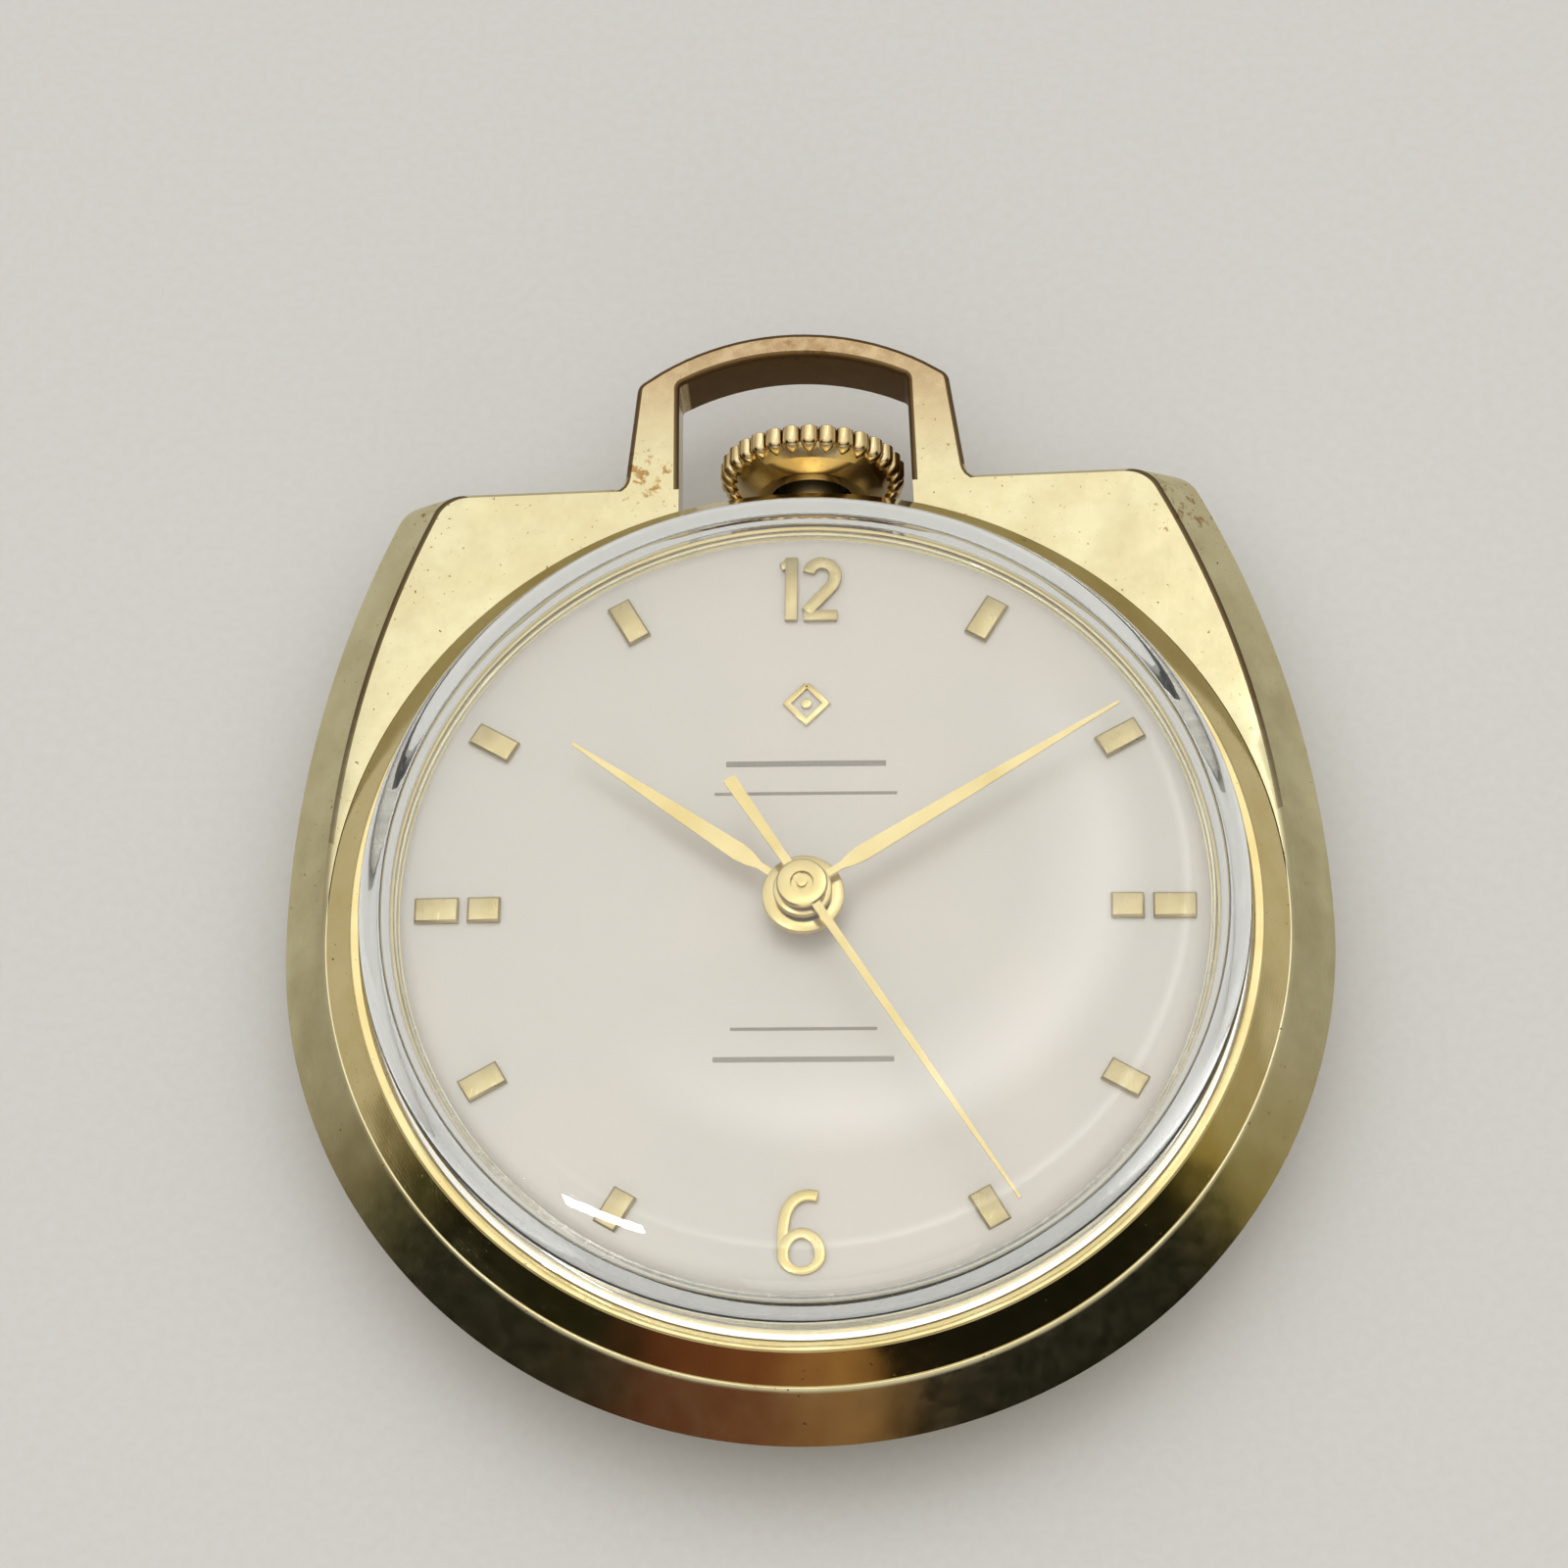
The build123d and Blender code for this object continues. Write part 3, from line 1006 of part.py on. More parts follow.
def leaf_hand(size, neck, wide, boss_r, bore):
    """An alpha hand: a round boss, a narrow neck and a long blade that tapers to a point."""
    length, z0, thickness, angle = size
    start = boss_r + 0.9
    blade = polygon((-neck / 2, 0), (-neck / 2, start - 0.4), (-wide / 2, start + 0.5), (-0.05, length),
                    (0.05, length), (wide / 2, start + 0.5), (neck / 2, start - 0.4), (neck / 2, 0))
    face = blade + Circle(boss_r) - Circle(bore)
    return Rot(0, 0, -angle) * plate(face, z0, z0 + thickness)


def make_hour_hand():
    return leaf_hand(HOUR_HAND, 0.28, 0.68, HOUR_BOSS_R, HOUR_PIPE_R)


def make_minute_hand():
    return leaf_hand(MINUTE_HAND, 0.26, 0.62, MINUTE_BOSS_R, CANNON_R - 0.1)


def make_seconds_hand():
    length, z0, thickness, angle = SECONDS_HAND
    face = polygon((-0.2, -SECONDS_TAIL), (0.2, -SECONDS_TAIL), (0.2, 0), (0.05, length), (-0.05, length),
                   (-0.2, 0)) + Circle(SECONDS_BOSS_R)
    shape = plate(face, z0, z0 + thickness) + disc(CENTRE, 0.8, z0, z0 + 0.25)
    shape -= disc(CENTRE, SECONDS_ARBOR_R, z0 - 1, z0 + 0.02)
    return Rot(0, 0, -angle) * shape


# ---- all the pieces ----------------------------------------------------------------------------

PIECES = {
    "frame_with_bow": make_frame, "case_middle": make_case_middle, "bezel": make_bezel,
    "crystal": make_crystal, "case_back": make_back, "movement_ring": make_movement_ring,
    "movement_clamps": make_clamps, "pendant_tube": make_pendant_tube, "crown": make_crown,
    "crown_gasket": make_gasket, "stem": make_stem, "winding_pinion": make_winding_pinion,
    "sliding_pinion": make_sliding_pinion, "setting_lever": make_setting_lever, "yoke": make_yoke,
    "setting_spring": make_setting_spring, "main_plate": make_main_plate,
    "barrel_bridge": make_barrel_bridge, "train_bridge": make_train_bridge,
    "pallet_bridge": make_pallet_bridge, "balance_cock": make_balance_cock,
    "bridge_screws": make_bridge_screws, "jewels": make_jewels, "barrel_drum": make_barrel_drum,
    "barrel_cover": make_barrel_cover, "barrel_arbor": make_barrel_arbor, "mainspring": make_mainspring,
    "ratchet_wheel": make_ratchet, "ratchet_screw": make_ratchet_screw, "crown_wheel": make_crown_wheel,
    "crown_wheel_core": make_crown_wheel_core, "click": make_click, "click_screw": make_click_screw,
    "click_spring": make_click_spring, "centre_wheel": make_centre_wheel, "third_wheel": make_third_wheel,
    "fourth_wheel": make_fourth_wheel, "escape_wheel": make_escape_wheel, "pallet_fork": make_pallet_fork,
    "pallet_stones": make_pallet_stones, "balance_wheel": make_balance_wheel,
    "balance_staff": make_balance_staff, "impulse_jewel": make_impulse_jewel, "hairspring": make_hairspring,
    "regulator": make_regulator, "cannon_pinion": make_cannon_pinion, "minute_wheel": make_minute_wheel,
    "hour_wheel": make_hour_wheel, "dial_washer": make_dial_washer, "setting_wheel": make_setting_wheel,
    "dial": make_dial, "dial_screws": make_dial_screws, "hour_markers": make_hour_markers,
    "numeral_12": make_numeral_12, "numeral_6": make_numeral_6, "dial_emblem": make_emblem,
    "hour_hand": make_hour_hand, "minute_hand": make_minute_hand, "seconds_hand": make_seconds_hand,
}

os.makedirs("parts", exist_ok=True)
for name, make in PIECES.items():
    save(name, make())
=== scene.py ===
import json
from math import atan2, cos, hypot, pi, radians, sin, sqrt, tan

import bpy
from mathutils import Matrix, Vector

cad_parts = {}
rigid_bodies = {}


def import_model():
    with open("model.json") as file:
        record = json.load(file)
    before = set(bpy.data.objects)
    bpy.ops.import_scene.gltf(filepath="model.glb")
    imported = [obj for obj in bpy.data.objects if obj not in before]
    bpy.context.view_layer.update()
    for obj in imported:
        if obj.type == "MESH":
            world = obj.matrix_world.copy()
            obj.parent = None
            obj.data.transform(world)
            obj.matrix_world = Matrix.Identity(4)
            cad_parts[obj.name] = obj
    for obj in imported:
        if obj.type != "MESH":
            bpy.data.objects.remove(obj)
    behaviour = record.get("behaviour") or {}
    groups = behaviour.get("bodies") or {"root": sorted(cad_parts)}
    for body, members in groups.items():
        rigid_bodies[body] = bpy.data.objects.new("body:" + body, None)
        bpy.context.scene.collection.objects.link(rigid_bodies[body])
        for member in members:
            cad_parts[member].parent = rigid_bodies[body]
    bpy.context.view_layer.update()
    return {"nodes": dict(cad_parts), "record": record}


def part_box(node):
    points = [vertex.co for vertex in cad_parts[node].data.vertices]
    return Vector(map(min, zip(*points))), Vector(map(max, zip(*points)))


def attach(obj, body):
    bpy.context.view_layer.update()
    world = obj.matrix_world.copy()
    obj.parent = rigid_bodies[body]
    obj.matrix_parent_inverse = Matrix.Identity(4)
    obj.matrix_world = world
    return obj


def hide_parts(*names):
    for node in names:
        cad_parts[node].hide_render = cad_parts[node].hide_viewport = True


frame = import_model()
MM = 0.001

# ---- places and sizes read from the fixed frame, in metres --------------------------------------

CONTAINER_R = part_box("case_middle")[1].x
FRAME_BACK_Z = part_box("frame_with_bow")[0].z
FRAME_FRONT_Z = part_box("frame_with_bow")[1].z
CRYSTAL_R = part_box("crystal")[1].x
CRYSTAL_FOOT_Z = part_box("crystal")[0].z
CRYSTAL_TOP_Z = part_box("crystal")[1].z
BEZEL_LIP_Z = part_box("bezel")[1].z
BEZEL_FOOT_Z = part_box("bezel")[0].z
DIAL_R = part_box("dial")[1].x
DIAL_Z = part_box("dial")[1].z
CROWN_LOW, CROWN_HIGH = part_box("crown")
CROWN_R = CROWN_HIGH.x
CROWN_Z = (CROWN_LOW.z + CROWN_HIGH.z) / 2
BACK_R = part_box("case_back")[1].x

# ---- sizes of the visible metalwork, in millimetres --------------------------------------------

FRAME_TURN = 1.8            # the frame sits slightly turned on the container, degrees
FRAME_R = 19.27
FRAME_BORE_R = 17.60
FRAME_EDGE_Z = 4.26
FRONT_BEVEL = 1.59
BACK_BEVEL = 1.10
SHOULDER_Y = 18.45
SHOULDER_SIDE_R = 42.0
SHOULDER_CORNER_R = 1.3
BOW_ROOT_HALF = 6.6
BOW_TOP_HALF = 6.0
BOW_CORNER_Y = 22.6
BOW_TOP_Y = 24.65
BOW_SIDE_T = 2.1
BOW_TOP_T = 1.0
BOW_BACK_Z = 3.25
CROWN_FLUTES = 30
FLUTE_RISE = 0.30           # how far the flutes stand out of the crown's core
SHOULDER_FRONT_STEP = 0.35  # the front face's shoulders stand back from the widest line by this much
SHOULDER_BACK_STEP = 0.80
FRONT_EDGE_BEVEL = 0.13
BOW_EDGE_R = 0.20
SHOULDER_SIDE_STEPS = 28
SHOULDER_TOP_STEPS = 32
WORN_Z = 5.5                # height of the worn spots on the frame's front
TURNING_PITCH = 0.35        # turning marks on the bezel, wider than real ones so that they show
WALL_T = 2.27               # the container's wall
BACK_FLAT_R = 13.5
CRYSTAL_WALL_T = 0.95
MARKER_HEIGHT = 0.25
FIGURE_HEIGHT = 0.24
HOUR_ANGLE = 305.5          # degrees clockwise from 12
MINUTE_ANGLE = 57.3
SECONDS_ANGLE = 147.0
BLADE_T = 0.08
BLADE_RIDGE = 0.07


# ---- modelling helpers -------------------------------------------------------------------------

def only(*objects):
    """Selects these objects alone, and makes the first one active."""
    if bpy.context.object and bpy.context.object.mode != "OBJECT":
        bpy.ops.object.mode_set(mode="OBJECT")
    bpy.ops.object.select_all(action="DESELECT")
    for one in objects:
        one.select_set(True)
    bpy.context.view_layer.objects.active = objects[0]


def edit(obj, everything=True):
    only(obj)
    bpy.ops.object.mode_set(mode="EDIT")
    bpy.ops.mesh.select_all(action="SELECT" if everything else "DESELECT")


def done(obj, name=None):
    """Leaves edit mode and puts the object's place into its mesh."""
    bpy.ops.object.mode_set(mode="OBJECT")
    only(obj)
    bpy.ops.object.transform_apply(location=True, rotation=True, scale=True)
    if name:
        obj.name = name
        obj.data.name = name
    return obj


def trace(points, closed=False):
    """A line drawn by pulling one vertex from point to point; it stays in edit mode, all selected."""
    bpy.ops.object.select_all(action="DESELECT")
    bpy.ops.mesh.primitive_plane_add(size=0.01 * MM, location=points[0])
    obj = bpy.context.object
    bpy.ops.object.mode_set(mode="EDIT")
    bpy.ops.mesh.merge(type="CENTER")
    route = list(points[1:]) + ([points[0]] if closed else [])
    here = Vector(points[0])
    for point in route:
        there = Vector(point)
        bpy.ops.mesh.extrude_region_move(TRANSFORM_OT_translate={"value": there - here})
        here = there
    bpy.ops.mesh.select_all(action="SELECT")
    if closed:
        bpy.ops.mesh.remove_doubles(threshold=0.001 * MM)
    return obj


def lathe(name, profile, steps=256, axis=(0, 0, 1), centre=(0, 0, 0), closed=True):
    """A turned piece: the profile is drawn in (radius, height) and spun round the axis."""
    if axis[2]:
        points = [(centre[0] + r, centre[1], z) for r, z in profile]
    else:
        points = [(centre[0] + r, y, centre[2]) for r, y in profile]
    obj = trace(points, closed)
    bpy.ops.mesh.spin(steps=steps, angle=2 * pi, center=centre, axis=axis)
    bpy.ops.mesh.select_all(action="SELECT")
    bpy.ops.mesh.remove_doubles(threshold=0.001 * MM)
    bpy.ops.mesh.normals_make_consistent(inside=False)
    return done(obj, name)


def slab(outline, z0, z1):
    """A closed outline filled and pulled up into a plate."""
    obj = trace([(x, y, z0) for x, y in outline], closed=True)
    bpy.ops.mesh.edge_face_add()
    bpy.ops.mesh.extrude_region_move(TRANSFORM_OT_translate={"value": (0, 0, z1 - z0)})
    bpy.ops.mesh.select_all(action="SELECT")
    bpy.ops.mesh.normals_make_consistent(inside=False)
    return done(obj)


def modify(obj, kind, **settings):
    """Adds a modifier with its settings and applies it."""
    only(obj)
    modifier = obj.modifiers.new(kind.title(), kind)
    for key, value in settings.items():
        setattr(modifier, key, value)
    bpy.ops.object.modifier_apply(modifier=modifier.name)
    return obj


def cut(obj, tool, operation="DIFFERENCE"):
    modify(obj, "BOOLEAN", object=tool, operation=operation, solver="EXACT")
    bpy.data.objects.remove(tool)
    return obj


def soften(obj, width, segments=3, angle=28):
    """Breaks the sharp edges, as polishing does."""
    return modify(obj, "BEVEL", width=width * MM, segments=segments, limit_method="ANGLE",
                  angle_limit=radians(angle), harden_normals=False, use_clamp_overlap=True)


def smooth(obj, angle=32):
    only(obj)
    bpy.ops.object.shade_smooth_by_angle(angle=radians(angle))
    return obj


def even_shading(obj, angle):
    """Shades smooth up to an angle and lets the large faces lead, so that flats look flat."""
    smooth(obj, angle)
    return modify(obj, "WEIGHTED_NORMAL", keep_sharp=True, weight=60)


def join(name, *objects):
    only(*objects)
    bpy.ops.object.join()
    objects[0].name = name
    objects[0].data.name = name
    return objects[0]


def turn(obj, angle, axis="Z"):
    """Turns a piece about the origin, anticlockwise, and puts the turn into its mesh."""
    only(obj)
    obj.rotation_euler["XYZ".index(axis)] = radians(angle)
    bpy.ops.object.transform_apply(location=True, rotation=True, scale=True)
    return obj


def copy_of(obj):
    twin = obj.copy()
    twin.data = obj.data.copy()
    bpy.context.scene.collection.objects.link(twin)
    return twin


def tube_primitive(radius, depth, location, vertices=64, rotation=(0, 0, 0)):
    bpy.ops.object.select_all(action="DESELECT")
    bpy.ops.mesh.primitive_cylinder_add(vertices=vertices, radius=radius, depth=depth,
                                        location=location, rotation=rotation)
    return done_primitive()


def box_primitive(low, high):
    bpy.ops.object.select_all(action="DESELECT")
    middle = [(a + b) / 2 for a, b in zip(low, high)]
    bpy.ops.mesh.primitive_cube_add(size=1, location=middle, scale=[b - a for a, b in zip(low, high)])
    return done_primitive()


def done_primitive():
    obj = bpy.context.object
    only(obj)
    bpy.ops.object.transform_apply(location=True, rotation=True, scale=True)
    return obj


def arc(centre, radius, start, end, steps):
    """Points along an arc, angles in degrees."""
    out = []
    for i in range(steps + 1):
        a = radians(start + (end - start) * i / steps)
        out.append((centre[0] + radius * cos(a), centre[1] + radius * sin(a)))
    return out


def rounded(corners, radius, steps=4, closed=True):
    """A polygon with each corner replaced by a small curve of about this radius."""
    out = []
    count = len(corners)
    for i, corner in enumerate(corners):
        if not closed and i in (0, count - 1):
            out.append(corner)
            continue
        p = Vector(corner)
        a = Vector(corners[i - 1]) - p
        b = Vector(corners[(i + 1) % count]) - p
        half = a.angle(b) / 2
        reach = min(radius / tan(half), 0.45 * a.length, 0.45 * b.length)
        first = p + a.normalized() * reach
        last = p + b.normalized() * reach
        for k in range(steps + 1):
            t = k / steps
            point = first * (1 - t) ** 2 + p * 2 * t * (1 - t) + last * t ** 2
            out.append((point.x, point.y))
    return out


def mm(points):
    return [tuple(value * MM for value in point) for point in points]


def settle(obj, body, slot, material, *nodes):
    """Hands a finished piece to its body, in the place of the CAD nodes that it stands for."""
    obj.data.materials.clear()
    obj.data.materials.append(material)
    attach(obj, body)
    if nodes:
        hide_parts(*nodes)


# ---- materials ---------------------------------------------------------------------------------

def srgb(code):
    """Linear colour of a hex sRGB value."""
    values = [int(code[i:i + 2], 16) / 255 for i in (0, 2, 4)]
    linear = [v / 12.92 if v <= 0.04045 else ((v + 0.055) / 1.055) ** 2.4 for v in values]
    return (*linear, 1.0)


def add(tree, kind, inputs=(), **settings):
    """Adds a node with its settings, feeds its inputs, given in order or by name, and returns its outputs.
    A socket is linked, a text is a hex colour, and any other value is set."""
    node = tree.nodes.new("ShaderNode" + kind)
    for name, value in settings.items():
        setattr(node, name, value)
    for key, value in inputs.items() if isinstance(inputs, dict) else enumerate(inputs):
        if isinstance(value, bpy.types.NodeSocket):
            tree.links.new(value, node.inputs[key])
        else:
            node.inputs[key].default_value = srgb(value) if isinstance(value, str) else value
    return node.outputs


def new_material(name, *grains):
    """An empty material with its tree, the piece's coordinates and a noise for each grain, which is given
    by the size of its lumps in millimetres, its detail and its roughness."""
    material = bpy.data.materials.new(name)
    material.use_nodes = True
    tree = material.node_tree
    tree.nodes.clear()
    points = add(tree, "TexCoord")["Object"]
    noises = []
    for lump, detail, roughness in grains:
        noises.append(add(tree, "TexNoise", {"Vector": points, "Scale": 1 / (lump * MM), "Detail": detail,
                                             "Roughness": roughness})[0])
    return material, tree, points, noises


def two_tone(tree, pattern, low, high, base, deep):
    """A colour that goes from base to deep as the pattern rises from low to high."""
    share = add(tree, "MapRange", (pattern, low, high, 0, 1))[0]
    return add(tree, "Mix", {0: share, 6: base, 7: deep}, data_type="RGBA")[2]


def mask(tree, *steps):
    """The product of several steps: each takes a value between two limits to a share between two others."""
    product = 1.0
    for value, low, high, at_low, at_high in steps:
        share = add(tree, "MapRange", (value, low, high, at_low, at_high))[0]
        product = add(tree, "Math", (product, share), operation="MULTIPLY")[0]
    return product


def hairlines(tree, points, *directions):
    """Fine scratches, each set given by its angle and the limits between which it shows. Real ones are a few
    thousandths of a millimetre wide, and these are drawn about 0.03 mm wide so that they show."""
    lines = 0.0
    for angle, low, high in directions:
        along = add(tree, "Mapping", {"Vector": points, "Rotation": (0, 0, radians(angle)),
                                      "Scale": (6, 0.12, 1)})[0]
        one_way = add(tree, "TexNoise", {"Vector": along, "Scale": 1 / (0.18 * MM), "Detail": 2,
                                         "Roughness": 0.6})[0]
        shown = add(tree, "MapRange", (one_way, low, high, 0, 1))[0]
        lines = add(tree, "Math", (lines, shown), operation="MAXIMUM")[0]
    return lines


def gold_plate(name, base, deep, rough, wear_at=(), ring=False, scratch=0.5, edges=False, flutes=False):
    """Gold plate over brass, polished and then carried for decades: warm, mirror-like but softened by
    hairlines, with small pits, and browner where the plate has worn through at the marked spots."""
    material, tree, points, (cloud, pitting, grime, swell) = new_material(
        name, (2.5, 4, 0.6), (0.16, 2, 0.5), (0.7, 5, 0.7), (2.6, 1, 0.5))
    colour = two_tone(tree, cloud, 0.35, 0.65, base, deep)
    lines = hairlines(tree, points, (35, 0.62, 0.75), (-50, 0.64, 0.78))
    pits = mask(tree, (pitting, 0.70, 0.78, 0, 1))
    roughness = add(tree, "MapRange", (grime, 0.3, 0.7, rough * 0.8, rough * 1.35))[0]
    roughness = add(tree, "Math", (lines, 0.10 * scratch, roughness), operation="MULTIPLY_ADD")[0]
    coats = [(pits, "7A5A26", 0)]
    if wear_at:
        coats.insert(0, (worn_spots(tree, points, wear_at), "A0702C", 0.25))
    # the frame's coats paint shade: a dark line along the front edges and darker walls in the bow's opening
    if edges:
        coats += bow_coat_and_painted_shade(tree, points, grime)
    # the gaps between the crown's flutes get painted shade, 3A2810
    if flutes:
        coats.append((flute_gap_shade_mask(tree, points), "3A2810", 0))
    for share, over, rougher in coats:
        colour = add(tree, "Mix", {0: share, 6: colour, 7: over}, data_type="RGBA")[2]
        roughness = add(tree, "Math", (share, rougher, roughness), operation="MULTIPLY_ADD")[0]
    reliefs = [(grime, 0.25), (pits, -0.8), (lines, -0.25 * scratch)]
    if ring:
        turned = add(tree, "TexWave", {"Vector": points, "Scale": 1 / (TURNING_PITCH * MM), "Distortion": 1,
                                       "Detail": 2}, wave_type="RINGS", rings_direction="Z")["Fac"]
        reliefs.append((turned, 0.05))
    height = 0.0
    for pattern, amount in reliefs:
        height = add(tree, "Math", (pattern, amount, height), operation="MULTIPLY_ADD")[0]
    swollen = add(tree, "Bump", {"Strength": 0.5, "Distance": 0.13 * MM, "Height": swell})[0]
    normal = add(tree, "Bump", {"Strength": 0.35, "Distance": 0.012 * MM, "Height": height,
                                "Normal": swollen})[0]
    shader = add(tree, "BsdfPrincipled", {"Base Color": colour, "Metallic": 1, "Roughness": roughness,
                                          "Normal": normal})[0]
    add(tree, "OutputMaterial", (shader,))
    return material


def worn_spots(tree, points, places):
    """Patches about the given places, each with its reach in millimetres, broken up by small spots."""
    worn = 0.0
    for x, y, reach in places:
        centred = add(tree, "Mapping", {"Vector": points, "Scale": (1 / (reach * MM),) * 3,
                                        "Location": (-x / reach, -y / reach, -WORN_Z / reach)})[0]
        ball = add(tree, "TexGradient", (centred,), gradient_type="SPHERICAL")["Fac"]
        worn = add(tree, "Math", (worn, ball), operation="MAXIMUM")[0]
    spots = add(tree, "TexNoise", {"Vector": points, "Scale": 1 / (0.42 * MM), "Detail": 3,
                                   "Roughness": 0.6})[0]
    reached = add(tree, "Math", (worn, 0.34, spots), operation="MULTIPLY_ADD")[0]
    return mask(tree, (reached, 0.80, 0.90, 0, 0.8))


def bow_coat_and_painted_shade(tree, points, grime):
    """The frame's coats: the bow gone brown with a ragged border, a dark line of painted shade along the
    front edges and painted shade on the walls of the bow's opening.
    """
    up = add(tree, "SeparateXYZ", (points,))["Y"]
    ragged = add(tree, "Math", (grime, 0.004, up), operation="MULTIPLY_ADD")[0]
    on_bow = mask(tree, (ragged, 20.4 * MM, 25.6 * MM, 0, 0.9))
    edge = add(tree, "Attribute", attribute_name="painted_edge_shade")["Fac"]
    on_shaded_edge = add(tree, "Math", (edge, 0.85), operation="MULTIPLY")[0]
    brown = two_tone(tree, grime, 0.42, 0.62, "A3835F", "BFA680")
    # 523813 on the front edges is painted shade
    return [(on_bow, brown, 0.10), (on_shaded_edge, "523813", 0.15 / 0.85),
            # 6E5636 on the walls of the bow's opening is painted shade
            (bow_opening_shade_mask(tree, points), "6E5636", 0.25)]


def bow_opening_shade_mask(tree, points):
    """One on the walls of the bow's opening, where shade is painted, and nought elsewhere."""
    across, up, height = add(tree, "SeparateXYZ", (points,))
    beside = add(tree, "Math", (across,), operation="ABSOLUTE")[0]
    return mask(tree, (beside, 4.75 * MM, 4.85 * MM, 1, 0), (up, 17.0 * MM, 17.4 * MM, 0, 1),
                (up, 23.68 * MM, 23.74 * MM, 1, 0), (height, 5.55 * MM, 5.64 * MM, 1, 0))


def flute_gap_shade_mask(tree, points):
    """One down in the gaps between the crown's flutes, where shade is painted."""
    centred = add(tree, "VectorMath", (points, (0, 0, CROWN_Z)), operation="SUBTRACT")[0]
    across = add(tree, "VectorMath", (centred, (1, 0, 1)), operation="MULTIPLY")[0]
    out = add(tree, "VectorMath", (across,), operation="LENGTH")["Value"]
    along = add(tree, "SeparateXYZ", (points,))["Y"]
    core = CROWN_R - FLUTE_RISE * MM
    return mask(tree, (out, core + 0.04 * MM, core + 0.18 * MM, 0.9, 0),
                (along, CROWN_LOW.y + 0.72 * MM, CROWN_LOW.y + 0.84 * MM, 0, 1),
                (along, CROWN_HIGH.y - 0.36 * MM, CROWN_HIGH.y - 0.28 * MM, 1, 0))


def seat_and_wall():
    """Satin gold plate on the container's wall. The seat under the crystal is painted near-white, painted
    light that brightens the band seen through the crystal's wall."""
    material, tree, points, (fine,) = new_material("satin_gold_plate_with_painted_light_seat", (0.3, 4, 0.5))
    level = add(tree, "VectorMath", (points, (1, 1, 0)), operation="MULTIPLY")[0]
    out = add(tree, "VectorMath", (level,), operation="LENGTH")["Value"]
    height = add(tree, "SeparateXYZ", (points,))["Z"]
    seat = mask(tree, (out, 16.52 * MM, 16.60 * MM, 1, 0), (height, 5.0 * MM, 5.2 * MM, 0, 1))
    gold = two_tone(tree, fine, 0.3, 0.7, "DFCFA2", "CFBD8B")
    shader = add(tree, "BsdfPrincipled", {
        # the near-white FBF9F6 on the seat is painted light
        "Base Color": add(tree, "Mix", {0: seat, 6: gold, 7: "FBF9F6"}, data_type="RGBA")[2],
        "Metallic": add(tree, "MapRange", (seat, 0, 1, 1, 0))[0],
        "Roughness": add(tree, "MapRange", (seat, 0, 1, 0.35, 0.9))[0],
        "Normal": add(tree, "Bump", {"Strength": 0.3, "Distance": 0.004 * MM, "Height": fine})[0]})[0]
    add(tree, "OutputMaterial", (shader,))
    return material


def acrylic():
    """Clear acrylic, moulded and polished: it bends light little and carries fine scratches. Shadow rays pass
    straight through it, as light does through a thin clear shell."""
    material, tree, points, _ = new_material("clear_acrylic")
    lines = hairlines(tree, points, (20, 0.70, 0.80), (-65, 0.72, 0.82))
    glass = add(tree, "BsdfPrincipled", {
        "Base Color": "FCFDFC", "IOR": 1.49, "Transmission Weight": 1,
        "Roughness": add(tree, "MapRange", (lines, 0, 1, 0.012, 0.10))[0],
        "Normal": add(tree, "Bump", {"Strength": 0.3, "Distance": 0.002 * MM, "Height": lines})[0]})[0]
    clear = add(tree, "BsdfTransparent", ("FBFCFB",))[0]
    in_shadow = add(tree, "LightPath")["Is Shadow Ray"]
    both = add(tree, "MixShader", (in_shadow, glass, clear))[0]
    add(tree, "OutputMaterial", (both,))
    return material


def silvered_dial():
    """Silvered brass, matt-blasted and lacquered: a pale satin white with a faint warm blush. The blasting is
    drawn coarser than the real one, which is too fine to show."""
    material, tree, _, (blush, fine) = new_material("silvered_lacquered_brass", (9, 2, 0.5), (0.07, 2, 0.5))
    colour = two_tone(tree, blush, 0.35, 0.65, "D5CFC5", "DBD2C8")
    speckle = add(tree, "MapRange", (fine, 0.40, 0.75, 0, 0.35))[0]
    shader = add(tree, "BsdfPrincipled", {
        "Base Color": add(tree, "Mix", {0: speckle, 6: colour, 7: "C8C0B6"}, data_type="RGBA")[2],
        "Metallic": 0.25, "Roughness": 0.42, "Coat Weight": 0.25, "Coat Roughness": 0.25,
        "Normal": add(tree, "Bump", {"Strength": 0.05, "Distance": 0.002 * MM, "Height": fine})[0]})[0]
    add(tree, "OutputMaterial", (shader,))
    return material


def lapped_gilt():
    """Gilt brass, cut bright and lacquered, with fine straight lines from the lap, drawn wide enough to
    show."""
    material, tree, points, (cloud,) = new_material("lapped_gilt_brass", (1.2, 3, 0.5))
    along = add(tree, "Mapping", {"Vector": points, "Scale": (1, 0.15, 1)})[0]
    fine = add(tree, "TexNoise", {"Vector": along, "Scale": 1 / (0.12 * MM), "Detail": 3,
                                  "Roughness": 0.6})[0]
    shader = add(tree, "BsdfPrincipled", {
        "Base Color": two_tone(tree, cloud, 0.35, 0.65, "C3B388", "B5A475"), "Metallic": 1,
        "Roughness": add(tree, "MapRange", (fine, 0.3, 0.7, 0.256, 0.416))[0],
        "Normal": add(tree, "Bump", {"Strength": 0.3, "Distance": 0.0015 * MM, "Height": fine})[0]})[0]
    add(tree, "OutputMaterial", (shader,))
    return material


def polished_gilt():
    """Gilt brass, polished: a clear yellow with hardly any grain."""
    material, tree, _, (cloud,) = new_material("polished_gilt_brass", (2, 2, 0.5))
    shader = add(tree, "BsdfPrincipled", {
        "Base Color": two_tone(tree, cloud, 0.35, 0.65, "D9C68F", "CDB778"), "Metallic": 1,
        "Roughness": add(tree, "MapRange", (cloud, 0.3, 0.7, 0.16, 0.24))[0]})[0]
    add(tree, "OutputMaterial", (shader,))
    return material


